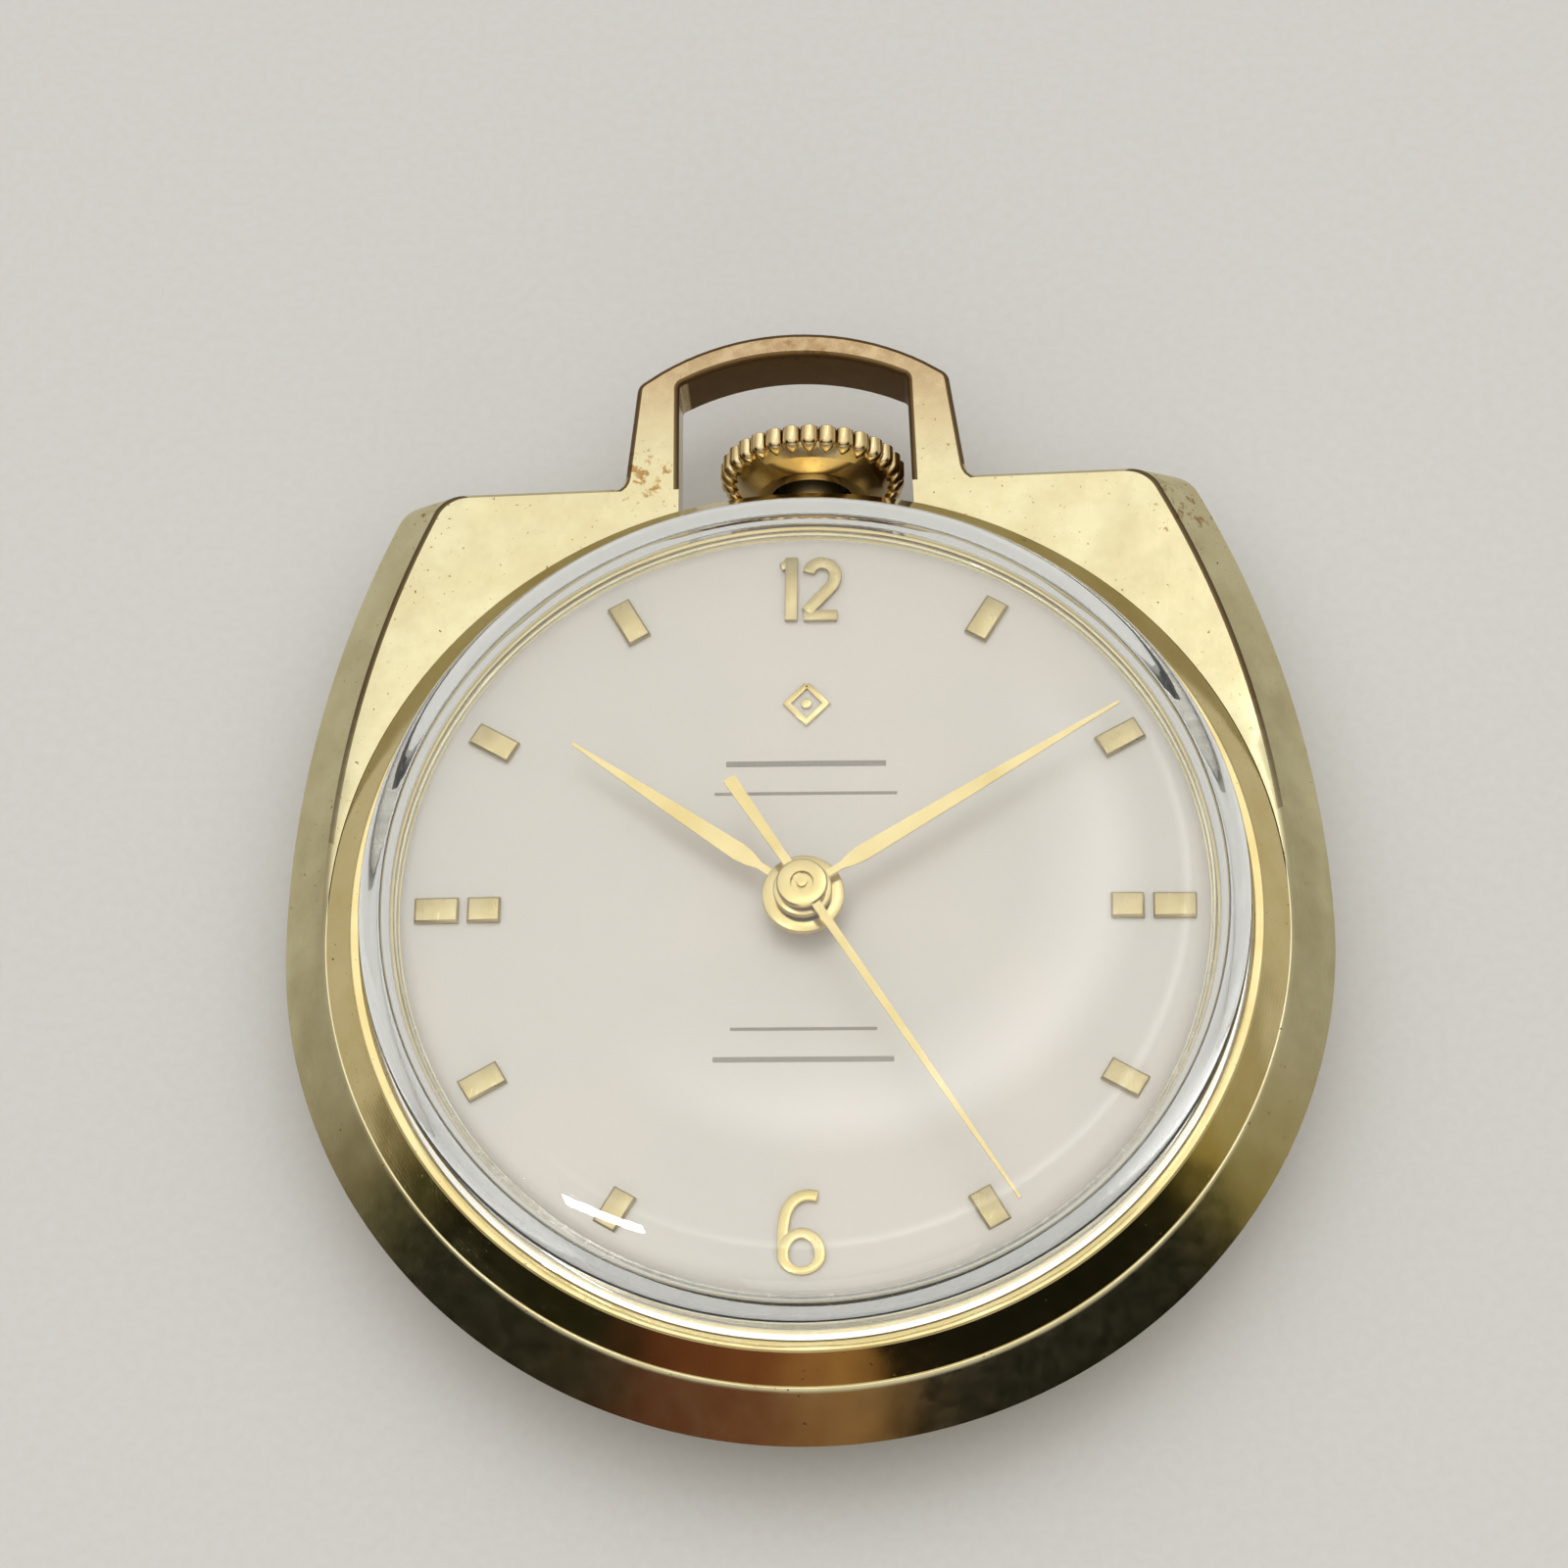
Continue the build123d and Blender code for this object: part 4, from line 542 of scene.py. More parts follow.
def plain_metal(name, base, deep, rough, grain):
    """A metal of the movement. Its finishing grain is drawn coarser than the real one, so that it shows."""
    material, tree, _, (fine,) = new_material(name, (grain, 3, 0.6))
    shader = add(tree, "BsdfPrincipled", {
        "Base Color": two_tone(tree, fine, 0.3, 0.7, base, deep), "Metallic": 1,
        "Roughness": add(tree, "MapRange", (fine, 0.3, 0.7, rough * 0.8, rough * 1.25))[0],
        "Normal": add(tree, "Bump", {"Strength": 0.3, "Distance": 0.003 * MM, "Height": fine})[0]})[0]
    add(tree, "OutputMaterial", (shader,))
    return material


def ruby_stone():
    """Synthetic ruby, ground and polished: deep red, glossy, a little uneven in colour."""
    material, tree, _, (cloud,) = new_material("synthetic_ruby", (0.3, 3, 0.5))
    colour = add(tree, "Mix", {0: cloud, 6: "B01030", 7: "D01C48"}, data_type="RGBA")[2]
    shader = add(tree, "BsdfPrincipled", {"Base Color": colour, "Roughness": 0.08, "IOR": 1.76})[0]
    add(tree, "OutputMaterial", (shader,))
    return material


def rubber():
    """Nitrile rubber, moulded: black, matt and slightly dusty."""
    material, tree, _, (fine,) = new_material("nitrile_rubber", (0.1, 3, 0.5))
    shader = add(tree, "BsdfPrincipled", {
        "Base Color": add(tree, "Mix", {0: fine, 6: "151515", 7: "222120"}, data_type="RGBA")[2],
        "Roughness": 0.6,
        "Normal": add(tree, "Bump", {"Strength": 0.4, "Distance": 0.005 * MM, "Height": fine})[0]})[0]
    add(tree, "OutputMaterial", (shader,))
    return material


def dial_ink():
    """Printing ink, laid on thinly: a soft grey, slightly uneven."""
    material, tree, _, (fine,) = new_material("dial_printing_ink", (0.08, 3, 0.5))
    colour = two_tone(tree, fine, 0.35, 0.65, "8D8478", "A2998C")
    shader = add(tree, "BsdfPrincipled", {"Base Color": colour, "Roughness": 0.5})[0]
    add(tree, "OutputMaterial", (shader,))
    return material


# ---- outer frame with its bow ------------------------------------------------------------------

def frame_outline(inset, top):
    """Round below, drawn in above by long side arcs to flat shoulder tops with round corners."""
    r = FRAME_R - inset
    side_x = FRAME_R - SHOULDER_SIDE_R
    side_r = SHOULDER_SIDE_R - inset
    inner_r = side_r - SHOULDER_CORNER_R
    corner_y = top - SHOULDER_CORNER_R
    corner_x = side_x + sqrt(inner_r ** 2 - corner_y ** 2)
    tangent = atan2(corner_y, corner_x - side_x) * 180 / pi
    right = arc((side_x, 0), side_r, 0, tangent, SHOULDER_SIDE_STEPS)
    right += arc((corner_x, corner_y), SHOULDER_CORNER_R, tangent, 90, 8)[1:]
    left = [(-x, y) for x, y in reversed(right)]
    across = [(corner_x * (1 - 2 * i / SHOULDER_TOP_STEPS), top) for i in range(1, SHOULDER_TOP_STEPS)]
    below = arc((0, 0), r, 180, 360, 128)[1:-1]
    return right + across + left + below


def bore_outline(edge):
    """A circle with a vertex in the direction of each vertex of an outline."""
    out = []
    for x, y in edge:
        length = hypot(x, y)
        out.append((x / length * FRAME_BORE_R, y / length * FRAME_BORE_R))
    return out


def bow_outline():
    """The outside of the bow, with concave roots and rounded upper corners."""
    top = arc_through(BOW_TOP_HALF, BOW_CORNER_Y, BOW_TOP_Y, 24)
    foot = SHOULDER_Y - 0.38
    root = rounded([(BOW_ROOT_HALF + 1.2, foot), (BOW_ROOT_HALF - 0.04, foot), (BOW_TOP_HALF, BOW_CORNER_Y)],
                   0.7, 5, closed=False)
    corners = rounded([root[-2], (BOW_TOP_HALF, BOW_CORNER_Y), top[1]], 0.8, 6, closed=False)
    right = [(BOW_ROOT_HALF + 0.9, foot - 1.2)] + root[:-2] + corners[:-1]
    left = [(-x, y) for x, y in reversed(right)]
    return right + top[2:-2] + left


def arc_through(half, low, apex, steps):
    """An arc from (half, low) over (0, apex) to (-half, low)."""
    rise = apex - low
    radius = (half ** 2 + rise ** 2) / (2 * rise)
    centre = (0, apex - radius)
    start = atan2(low - centre[1], half) * 180 / pi
    return arc(centre, radius, start, 180 - start, steps)


def opening_outline():
    """The bow's opening, which runs down between the shoulders to the crown."""
    half_top = BOW_TOP_HALF - BOW_SIDE_T + 0.5
    half_root = BOW_ROOT_HALF - BOW_SIDE_T
    top = arc_through(half_top, BOW_CORNER_Y - 0.05, BOW_TOP_Y - BOW_TOP_T, 24)
    corners = rounded([(half_root, FRAME_BORE_R - 1.6), (half_top, BOW_CORNER_Y - 0.05), top[1]], 0.7, 6,
                      closed=False)
    right = corners[:-1]
    left = [(-x, y) for x, y in reversed(right)]
    return right + top[2:-2] + left


def frame_with_bow():
    """The gold-plated frame: two faceted bands round the container, shoulders and a flat bow."""
    edge = frame_outline(0, SHOULDER_Y)
    levels = ((FRAME_BACK_Z / MM, frame_outline(BACK_BEVEL, SHOULDER_Y - SHOULDER_BACK_STEP)),
              (FRAME_EDGE_Z, edge),
              (FRAME_FRONT_Z / MM, frame_outline(FRONT_BEVEL, SHOULDER_Y - SHOULDER_FRONT_STEP)))
    bore = bore_outline(edge)
    loops = [[(x, y, z) for x, y in outline] for z, outline in levels]
    loops.append([(x, y, FRAME_FRONT_Z / MM) for x, y in bore])
    loops.append([(x, y, FRAME_BACK_Z / MM) for x, y in bore])
    parts = []
    for loop in loops:
        parts.append(done(trace(mm(loop), closed=True)))
    body = join("frame_with_bow", *parts)
    for first in range(len(loops)):
        pick_loops(body, len(edge), first, (first + 1) % len(loops))
        bpy.ops.mesh.bridge_edge_loops()
    pick_loops(body, len(edge), 2)
    bpy.ops.mesh.bevel(offset=FRONT_EDGE_BEVEL * MM, segments=1, affect="EDGES")
    bpy.ops.mesh.select_mode(type="VERT")
    bpy.ops.mesh.select_all(action="SELECT")
    bpy.ops.mesh.remove_doubles(threshold=0.001 * MM)
    bpy.ops.mesh.normals_make_consistent(inside=False)
    done(body)
    bow = slab(mm(bow_outline()), BOW_BACK_Z * MM, FRAME_FRONT_Z)
    cut(bow, slab(mm(bore), 0, FRAME_FRONT_Z + MM))
    cut(bow, slab(mm(opening_outline()), FRAME_BACK_Z - MM, FRAME_FRONT_Z + MM))
    soften(bow, BOW_EDGE_R, 3, 24)
    cut(body, slab(mm(opening_outline()), FRAME_BACK_Z - MM, FRAME_FRONT_Z + MM))
    cut(body, bow, "UNION")
    turn(body, FRAME_TURN)
    mark_edge_shade(body)
    return even_shading(body, 30)


def mark_edge_shade(body):
    """Stores, face by face, where a dark line of painted shade lies along the front edges."""
    shade_layer = body.data.attributes.new("painted_edge_shade", "FLOAT", "FACE")
    for polygon in body.data.polygons:
        tilt = polygon.normal.z
        x, y, z = (value / MM for value in polygon.center)
        outer = hypot(x, y) > FRAME_BORE_R + 0.3
        shoulder = share_between(y, -2, 9)
        on_bow = y > SHOULDER_Y + 0.4 and 0.05 < tilt < 0.93
        narrow = (0.80 < tilt < 0.992 or on_bow) and z > FRAME_FRONT_Z / MM - 0.25
        shade_layer.data[polygon.index].value = shoulder if outer and narrow else 0.0


def share_between(value, low, high):
    """How far a value has come from low to high, from nought to one."""
    return max(0.0, min(1.0, (value - low) / (high - low)))


def pick_loops(obj, count, *numbers):
    """Picks the edges that run along traced loops, known by their vertex numbers."""
    edit(obj, everything=False)
    bpy.ops.mesh.select_mode(type="EDGE")
    bpy.ops.mesh.select_all(action="DESELECT")
    bpy.ops.object.mode_set(mode="OBJECT")
    for side in obj.data.edges:
        owners = {index // count for index in side.vertices}
        side.select = len(owners) == 1 and owners <= set(numbers)
    bpy.ops.object.mode_set(mode="EDIT")


# ---- container, bezel, crystal, back -----------------------------------------------------------

def bezel():
    """A polished ring: a broad cone that rises to a small rounded lip round the crystal."""
    foot = BEZEL_FOOT_Z / MM
    lip = BEZEL_LIP_Z / MM
    r = CONTAINER_R / MM
    seat = CRYSTAL_R / MM + 0.04
    inside = r - 1.03
    corners = [(r - 0.02, foot), (r - 0.02, foot + 0.14), (r - 0.98, lip - 0.10), (r - 1.00, lip - 0.02),
               (r - 1.06, lip), (seat + 0.10, lip), (seat, lip - 0.12), (seat, foot + 0.3),
               (inside, foot + 0.3), (inside, foot)]
    return smooth(lathe("bezel", mm(rounded(corners, 0.05, 3)), 256), 40)


def crystal():
    """A steep acrylic wall that turns over into a shallow dome, hollow below."""
    r = CRYSTAL_R / MM
    foot = CRYSTAL_FOOT_Z / MM
    top = CRYSTAL_TOP_Z / MM
    shoulder = foot + 2.9
    wall_top = (r - 0.05, shoulder - 0.6)
    outer = [(r, foot), wall_top]
    outer += quarter(wall_top, (r - 0.32, shoulder + 0.25), (r - 1.35, shoulder + 0.45), 8)
    outer += dome_line(r - 1.35, shoulder + 0.45, top, 14)
    inner_r = r - CRYSTAL_WALL_T
    inner_top = (inner_r, shoulder - 0.75)
    inner = [(inner_r, foot), inner_top]
    inner += quarter(inner_top, (inner_r - 0.2, shoulder - 0.1), (inner_r - 1.2, shoulder + 0.08), 8)
    inner += dome_line(inner_r - 1.2, shoulder + 0.08, top - 1.1, 14)
    return smooth(lathe("crystal", mm(outer + inner[::-1]), 192), 50)


def quarter(a, through, b, steps):
    """A soft curve from a to b that leans towards the middle point; a itself is left out."""
    out = []
    for k in range(1, steps + 1):
        t = k / steps
        out.append(tuple(a[i] * (1 - t) ** 2 + through[i] * 2 * t * (1 - t) + b[i] * t ** 2 for i in (0, 1)))
    return out


def dome_line(half, low, apex, steps):
    """The profile of a dome from its rim to the axis; the rim itself is left out."""
    rise = apex - low
    radius = (half ** 2 + rise ** 2) / (2 * rise)
    out = []
    for k in range(1, steps + 1):
        x = half * (1 - k / steps)
        out.append((x, apex - radius + sqrt(radius ** 2 - x ** 2)))
    return out


def case_middle():
    """The container's wall: a turned ring with a neck for the bezel and a hole for the stem's tube."""
    low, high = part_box("case_middle")
    r, foot, top = CONTAINER_R / MM, low.z / MM, high.z / MM - 0.03
    bore = r - WALL_T
    back_seat, neck = bore + 0.65, bore + 1.2
    corners = [(back_seat, foot), (r, foot), (r, top - 0.3), (neck, top - 0.3), (neck, top), (bore, top),
               (bore, foot + 0.95), (back_seat, foot + 0.95)]
    ring = lathe("case_middle", mm(rounded(corners, 0.06, 2)), 256)
    hole = tube_primitive(1.03 * MM, 4 * MM, (0, CONTAINER_R, CROWN_Z), 48, (pi / 2, 0, 0))
    cut(ring, hole)
    return smooth(ring, 35)


def case_back():
    """A snapped-on back: flat in the middle, sloping to a flange, with a shallow stepped ring."""
    r, top = BACK_R / MM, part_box("case_back")[1].z / MM
    flat, wall = BACK_FLAT_R, 0.7
    rim_in, rim_out = r - 1.97, r - 1.27
    corners = [(0, 0), (flat - 1.1, 0), (flat - 1.1, 0.06), (flat - 0.8, 0.06), (flat - 0.8, 0), (flat, 0),
               (r - 0.15, 1.04), (r, 1.12), (r, 1.42), (rim_out, 1.45), (rim_out, top), (rim_in, top),
               (rim_in, 1.6), (flat, wall), (0, wall)]
    profile = [corners[0]] + rounded(corners[1:-1], 0.05, 2, closed=False) + [corners[-1]]
    return smooth(lathe("case_back", mm(profile), 192, closed=False), 35)


# ---- crown -------------------------------------------------------------------------------------

def crown():
    """A fluted crown: convex flutes that narrow to points on the inner cone, and a domed outer face."""
    y0, y1 = CROWN_LOW.y / MM, CROWN_HIGH.y / MM
    r = CROWN_R / MM
    core = r - FLUTE_RISE
    corners = [(0, y0 + 1.1), (1.55, y0 + 1.1), (1.55, y0), (2.1, y0), (core - 0.55, y0 + 0.36),
               (core, y0 + 0.80), (core, y1 - 0.36), (core - 0.34, y1 - 0.12), (0, y1)]
    inner = [corners[0]] + rounded(corners[1:-1], 0.10, 4, closed=False)
    hub = lathe("crown", mm(inner + crown_dome(core - 0.42, y1)), 180, axis=(0, 1, 0),
                centre=(0, 0, CROWN_Z), closed=False)
    pitch = 2 * pi * core / CROWN_FLUTES
    low, high = (y0 + 0.78) * MM, (y1 - 0.30) * MM
    flute = tube_primitive(pitch * 0.49 * MM, high - low, (0, (low + high) / 2, 0), 20, (pi / 2, 0, 0))
    edit(flute)
    bpy.ops.transform.resize(value=(1, 1, 0.85))
    bpy.ops.transform.translate(value=(0, 0, CROWN_Z + (core - 0.02) * MM))
    done(flute)
    shape_flute(flute)
    flutes = []
    for i in range(CROWN_FLUTES):
        one = copy_of(flute)
        swing_about_stem(one, 360 * i / CROWN_FLUTES)
        flutes.append(one)
    bpy.data.objects.remove(flute)
    whole = join("crown", hub, *flutes)
    return smooth(whole, 45)


def crown_dome(half, apex):
    """The shallow curve of the crown's outer face, from its rim in to the axis."""
    return [(half * (1 - k / 6), apex - 0.12 * (1 - k / 6) ** 2) for k in range(1, 7)]


def shape_flute(flute):
    """Draws the flute's inner end out to a blunt point that lies on the cone, and rounds its outer end."""
    select_end(flute, -1)
    for along, sink, narrow in ((-0.14, -0.03, 0.86), (-0.13, -0.08, 0.62), (-0.08, -0.10, 0.25)):
        bpy.ops.mesh.extrude_region_move(TRANSFORM_OT_translate={"value": (0, along * MM, sink * MM)})
        bpy.ops.transform.resize(value=(narrow, 1, narrow))
    select_end(flute, 1)
    for along, sink, narrow in ((0.09, -0.05, 0.78), (0.05, -0.08, 0.55)):
        bpy.ops.mesh.extrude_region_move(TRANSFORM_OT_translate={"value": (0, along * MM, sink * MM)})
        bpy.ops.transform.resize(value=(narrow, 1, narrow))
    done(flute)


def select_end(flute, side):
    """Selects the flat end of a flute that faces along Y, and stays in edit mode."""
    edit(flute, everything=False)
    bpy.ops.object.mode_set(mode="OBJECT")
    for polygon in flute.data.polygons:
        polygon.select = side * polygon.normal.y > 0.95
    bpy.ops.object.mode_set(mode="EDIT")


def swing_about_stem(obj, angle):
    """Turns a piece about the stem's axis and puts the turn into its mesh."""
    only(obj)
    bpy.context.scene.cursor.location = (0, 0, CROWN_Z)
    bpy.ops.object.origin_set(type="ORIGIN_CURSOR")
    obj.rotation_euler.y = radians(angle)
    bpy.ops.object.transform_apply(location=True, rotation=True, scale=True)


# ---- dial --------------------------------------------------------------------------------------

def dial():
    """A thin plate whose edge turns down slightly, with the hole for the hands' pipes."""
    r, top = DIAL_R / MM, DIAL_Z / MM
    low = top - 0.4
    profile = [(1.0, low), (1.0, top - 0.03), (1.04, top), (r - 0.9, top), (r - 0.5, top - 0.02),
               (r - 0.2, top - 0.07), (r, top - 0.16), (r, low)]
    return smooth(lathe("dial", mm(profile), 192), 30)


def clockwise(obj, hour):
    return turn(obj, -30 * hour)


def baton(length, width, distance):
    """A flat-topped bar with bevelled sides, standing at 12 o'clock."""
    z, height = DIAL_Z, MARKER_HEIGHT
    side_x, end_y = (width / 2 - 0.02) * MM, (length / 2 - 0.02) * MM
    bar = box_primitive((-width / 2 * MM, (distance - length / 2) * MM, z),
                        (width / 2 * MM, (distance + length / 2) * MM, z + height * MM))
    edit(bar, everything=False)
    bpy.ops.object.mode_set(mode="OBJECT")
    for polygon in bar.data.polygons:
        polygon.select = polygon.normal.z > 0.9
    bpy.ops.object.mode_set(mode="EDIT")
    bpy.ops.mesh.inset(thickness=0.07 * MM, depth=0)
    bpy.ops.mesh.select_more()
    bpy.ops.object.mode_set(mode="OBJECT")
    for vertex in bar.data.vertices:
        rim = abs(vertex.co.x) > side_x or abs(vertex.co.y - distance * MM) > end_y
        vertex.select = rim and vertex.co.z > z + 0.5 * height * MM
    for side in bar.data.edges:
        side.select = all(bar.data.vertices[i].select for i in side.vertices)
    for polygon in bar.data.polygons:
        polygon.select = False
    bpy.ops.object.mode_set(mode="EDIT")
    bpy.ops.transform.translate(value=(0, 0, -0.07 * MM))
    done(bar)
    return soften(bar, 0.02, 2, 20)


def hour_markers():
    """Eight single batons, and at 3 and 9 a long and a short one in a row."""
    single = baton(1.75, 0.9, 13.2)
    outer = baton(1.70, 0.95, 13.29)
    inner = baton(1.20, 0.95, 11.53)
    bars = [clockwise(copy_of(single), hour) for hour in (1, 2, 4, 5, 7, 8, 10, 11)]
    for hour in (3, 9):
        bars += [clockwise(copy_of(outer), hour), clockwise(copy_of(inner), hour)]
    for one in (single, outer, inner):
        bpy.data.objects.remove(one)
    return smooth(join("hour_markers", *bars), 20)


def stroke(points, width, height, closed=False):
    """A raised stroke of a figure: its middle line pulled up and given a width."""
    obj = trace([(x, y, DIAL_Z) for x, y in mm(points)], closed=closed)
    bpy.ops.mesh.extrude_region_move(TRANSFORM_OT_translate={"value": (0, 0, height * MM)})
    done(obj)
    return modify(obj, "SOLIDIFY", thickness=width * MM, offset=0, use_even_offset=True)


def place(figure, node):
    """Moves a figure drawn about the origin to the middle of its node in the frame."""
    low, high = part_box(node)
    only(figure)
    bpy.ops.transform.translate(value=(0, (low.y + high.y) / 2, 0))
    bpy.ops.object.transform_apply(location=True, rotation=True, scale=True)


def numeral_12():
    """The figure 12 in an upright, slightly narrow hand."""
    w = 0.46
    one = stroke([(-0.60, -1.32), (-0.60, 1.32)], w, FIGURE_HEIGHT)
    flag = stroke([(-1.00, 0.92), (-0.84, 0.98), (-0.66, 1.20)], 0.32, 0.22)
    bowl = arc((0.52, 0.58), 0.50, 170, 0, 12) + arc((0.24, 0.54), 0.78, 0, -42, 6)[1:]
    two = stroke(bowl + [(-0.04, -0.98)], w, FIGURE_HEIGHT)
    foot = stroke([(-0.14, -1.12), (1.10, -1.12)], w - 0.04, 0.22)
    figure = join("numeral_12", one, flag, two, foot)
    place(figure, "numeral_12")
    soften(figure, 0.03, 2, 40)
    return smooth(figure, 30)


def numeral_6():
    """The figure 6: an upright oval bowl with a long stem that curls over at the top."""
    w = 0.40
    bowl = [(0.65 * cos(radians(a)), -0.74 + 0.82 * sin(radians(a))) for a in range(0, 360, 15)]
    stem = [(-0.65, -0.85), (-0.655, -0.2), (-0.63, 0.4), (-0.50, 0.95), (-0.22, 1.32), (0.16, 1.47),
            (0.55, 1.42)]
    oval = stroke(bowl, w, FIGURE_HEIGHT, closed=True)
    figure = join("numeral_6", oval, stroke(smooth_line(stem, 4), w, FIGURE_HEIGHT - 0.005))
    place(figure, "numeral_6")
    soften(figure, 0.03, 2, 40)
    return smooth(figure, 30)


def smooth_line(points, steps):
    """A curve that passes through every point."""
    out = []
    for i in range(len(points) - 1):
        p = [Vector(points[max(0, min(len(points) - 1, i + k))]) for k in (-1, 0, 1, 2)]
        for s in range(steps):
            t = s / steps
            point = 0.5 * (2 * p[1] + (p[2] - p[0]) * t + (2 * p[0] - 5 * p[1] + 4 * p[2] - p[3]) * t ** 2
                           + (3 * p[1] - p[0] - 3 * p[2] + p[3]) * t ** 3)
            out.append((point.x, point.y))
    out.append(points[-1])
    return out


def dial_emblem():
    """A small open lozenge, in the place where a dial carries its maker's sign."""
    ring = stroke([(0, 0.75), (0.72, 0), (0, -0.75), (-0.72, 0), (0, 0.75)], 0.22, 0.14)
    edit(ring)
    bpy.ops.mesh.remove_doubles(threshold=0.001 * MM)
    done(ring)
    pip = tube_primitive(0.20 * MM, 0.14 * MM, (0, 0, DIAL_Z + 0.07 * MM), 32)
    figure = join("dial_emblem", ring, pip)
    place(figure, "dial_emblem")
    soften(figure, 0.02, 2, 40)
    return smooth(figure, 30)


def printed_rules():
    """Thin printed rules where a dial carries its lines of lettering."""
    lines = []
    for y, half, width in ((5.62, 2.9, 0.22), (4.44, 3.3, 0.12), (-4.62, 2.6, 0.12), (-5.76, 3.2, 0.20)):
        low = (-half * MM, (y - width / 2) * MM, DIAL_Z)
        high = (half * MM, (y + width / 2) * MM, DIAL_Z + 0.012 * MM)
        lines.append(box_primitive(low, high))
    return join("printed_rules", *lines)


# ---- hands -------------------------------------------------------------------------------------

def blade(length, neck, wide, start, z):
    """A hand's blade pointing to 12: a narrow neck, then a leaf that tapers to a point, ridged along."""
    half = [(neck / 2, 0.2), (neck / 2, start - 0.35), (wide / 2 * 0.8, start + 0.05),
            (wide / 2, start + 0.55), (wide * 0.36, start + (length - start) * 0.45), (0.05, length - 0.05),
            (0.02, length)]
    outline = half + [(-x, y) for x, y in reversed(half)]
    obj = slab(mm(outline), z * MM, (z + BLADE_T) * MM)
    edit(obj)
    bpy.ops.mesh.bisect(plane_co=(0, 0, 0), plane_no=(1, 0, 0))
    bpy.ops.mesh.select_all(action="DESELECT")
    bpy.ops.object.mode_set(mode="OBJECT")
    for vertex in obj.data.vertices:
        inside = abs(vertex.co.x) < 0.004 * MM and vertex.co.z > (z + 0.5 * BLADE_T) * MM
        vertex.select = inside and vertex.co.y > 0.3 * MM
    bpy.ops.object.mode_set(mode="EDIT")
    bpy.ops.transform.translate(value=(0, 0, BLADE_RIDGE * MM))
    return done(obj)


def boss(name, inner, outer, low, high):
    """A hand's flat ring, with its outer upper edge broken."""
    edge = 0.06
    profile = [(inner, low), (outer, low), (outer, high - edge), (outer - edge * 0.3, high - edge * 0.3),
               (outer - edge, high), (inner, high)]
    return lathe(name, mm(profile), 96)


def hand(name, angle, *parts):
    """Joins a hand's parts and turns it clockwise to its place."""
    return turn(smooth(join(name, *parts), 25), -angle)


def hour_hand():
    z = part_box("hour_hand")[0].z / MM
    leaf = blade(10.4, 0.28, 0.68, 2.3, z)
    return hand("hour_hand", HOUR_ANGLE, leaf, boss("hour_boss", 0.90, 1.47, z - 0.10, z + 0.15))


def minute_hand():
    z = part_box("minute_hand")[0].z / MM
    leaf = blade(13.6, 0.26, 0.62, 2.0, z)
    return hand("minute_hand", MINUTE_ANGLE, leaf, boss("minute_boss", 0.48, 1.05, z - 0.12, z + 0.15))


def seconds_hand():
    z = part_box("seconds_hand")[0].z / MM
    length, tail = 14.0, 4.9
    half = [(0.24, -tail), (0.17, -1.5), (0.16, 1.0), (0.13, length * 0.5), (0.05, length)]
    outline = half + [(-x, y) for x, y in reversed(half)]
    needle = slab(mm(outline), z * MM, (z + 0.10) * MM)
    cap = [(0, z - 0.05), (0.92, z - 0.05), (0.92, z + 0.10), (0.86, z + 0.16), (0.62, z + 0.20),
           (0.42, z + 0.20), (0.38, z + 0.05), (0.20, z + 0.05), (0.17, z + 0.22), (0, z + 0.24)]
    pip = lathe("seconds_boss", mm(cap), 96, closed=False)
    return hand("seconds_hand", SECONDS_ANGLE, needle, pip)


# ---- the pieces --------------------------------------------------------------------------------

GOLD = gold_plate("gold_plated_brass", "D8CFA6", "CCC096", 0.17, edges=True,
                  wear_at=((14.6, 17.4, 3.4), (-6.6, 18.2, 2.8), (6.2, 19.4, 2.0), (0, 24.4, 3.6),
                           (-15.0, 17.4, 2.0)))
BEZEL_GOLD = gold_plate("polished_gold_plate", "E0CF9A", "D6C288", 0.11, ring=True, scratch=0.3)
CROWN_GOLD = gold_plate("crown_gold_plate", "EBD6A8", "D8BC88", 0.16, scratch=0.3, flutes=True)
CONTAINER_GOLD = seat_and_wall()
ACRYLIC = acrylic()
SILVER = silvered_dial()
MARKER_GILT = lapped_gilt()
HAND_GILT = polished_gilt()
INK = dial_ink()
NICKEL = plain_metal("nickel_plated_brass", "BDB9B0", "A9A59C", 0.30, 0.25)
TRAIN_BRASS = plain_metal("gilt_train_brass", "D6B25E", "C49C46", 0.24, 0.2)
BLUED = plain_metal("blued_steel", "27406E", "1B2C52", 0.18, 0.2)
STEEL = plain_metal("polished_carbon_steel", "B4B5B6", "9C9EA0", 0.16, 0.15)
RUBY = ruby_stone()
RUBBER = rubber()

settle(frame_with_bow(), "case", "gold_plate", GOLD, "frame_with_bow")
settle(bezel(), "case", "gold_plate", BEZEL_GOLD, "bezel")
settle(crystal(), "case", "crystal", ACRYLIC, "crystal")
settle(case_middle(), "case", "gold_plate", CONTAINER_GOLD, "case_middle")
settle(case_back(), "case", "gold_plate", BEZEL_GOLD, "case_back")
settle(crown(), "crown_and_stem", "gold_plate", CROWN_GOLD, "crown")
settle(dial(), "case", "dial_silver", SILVER, "dial")
settle(hour_markers(), "case", "applied_gilt", MARKER_GILT, "hour_markers")
settle(numeral_12(), "case", "applied_gilt", MARKER_GILT, "numeral_12")
settle(numeral_6(), "case", "applied_gilt", HAND_GILT, "numeral_6")
settle(dial_emblem(), "case", "applied_gilt", HAND_GILT, "dial_emblem")
settle(printed_rules(), "case", "dial_silver", INK)
settle(hour_hand(), "hours", "applied_gilt", HAND_GILT, "hour_hand")
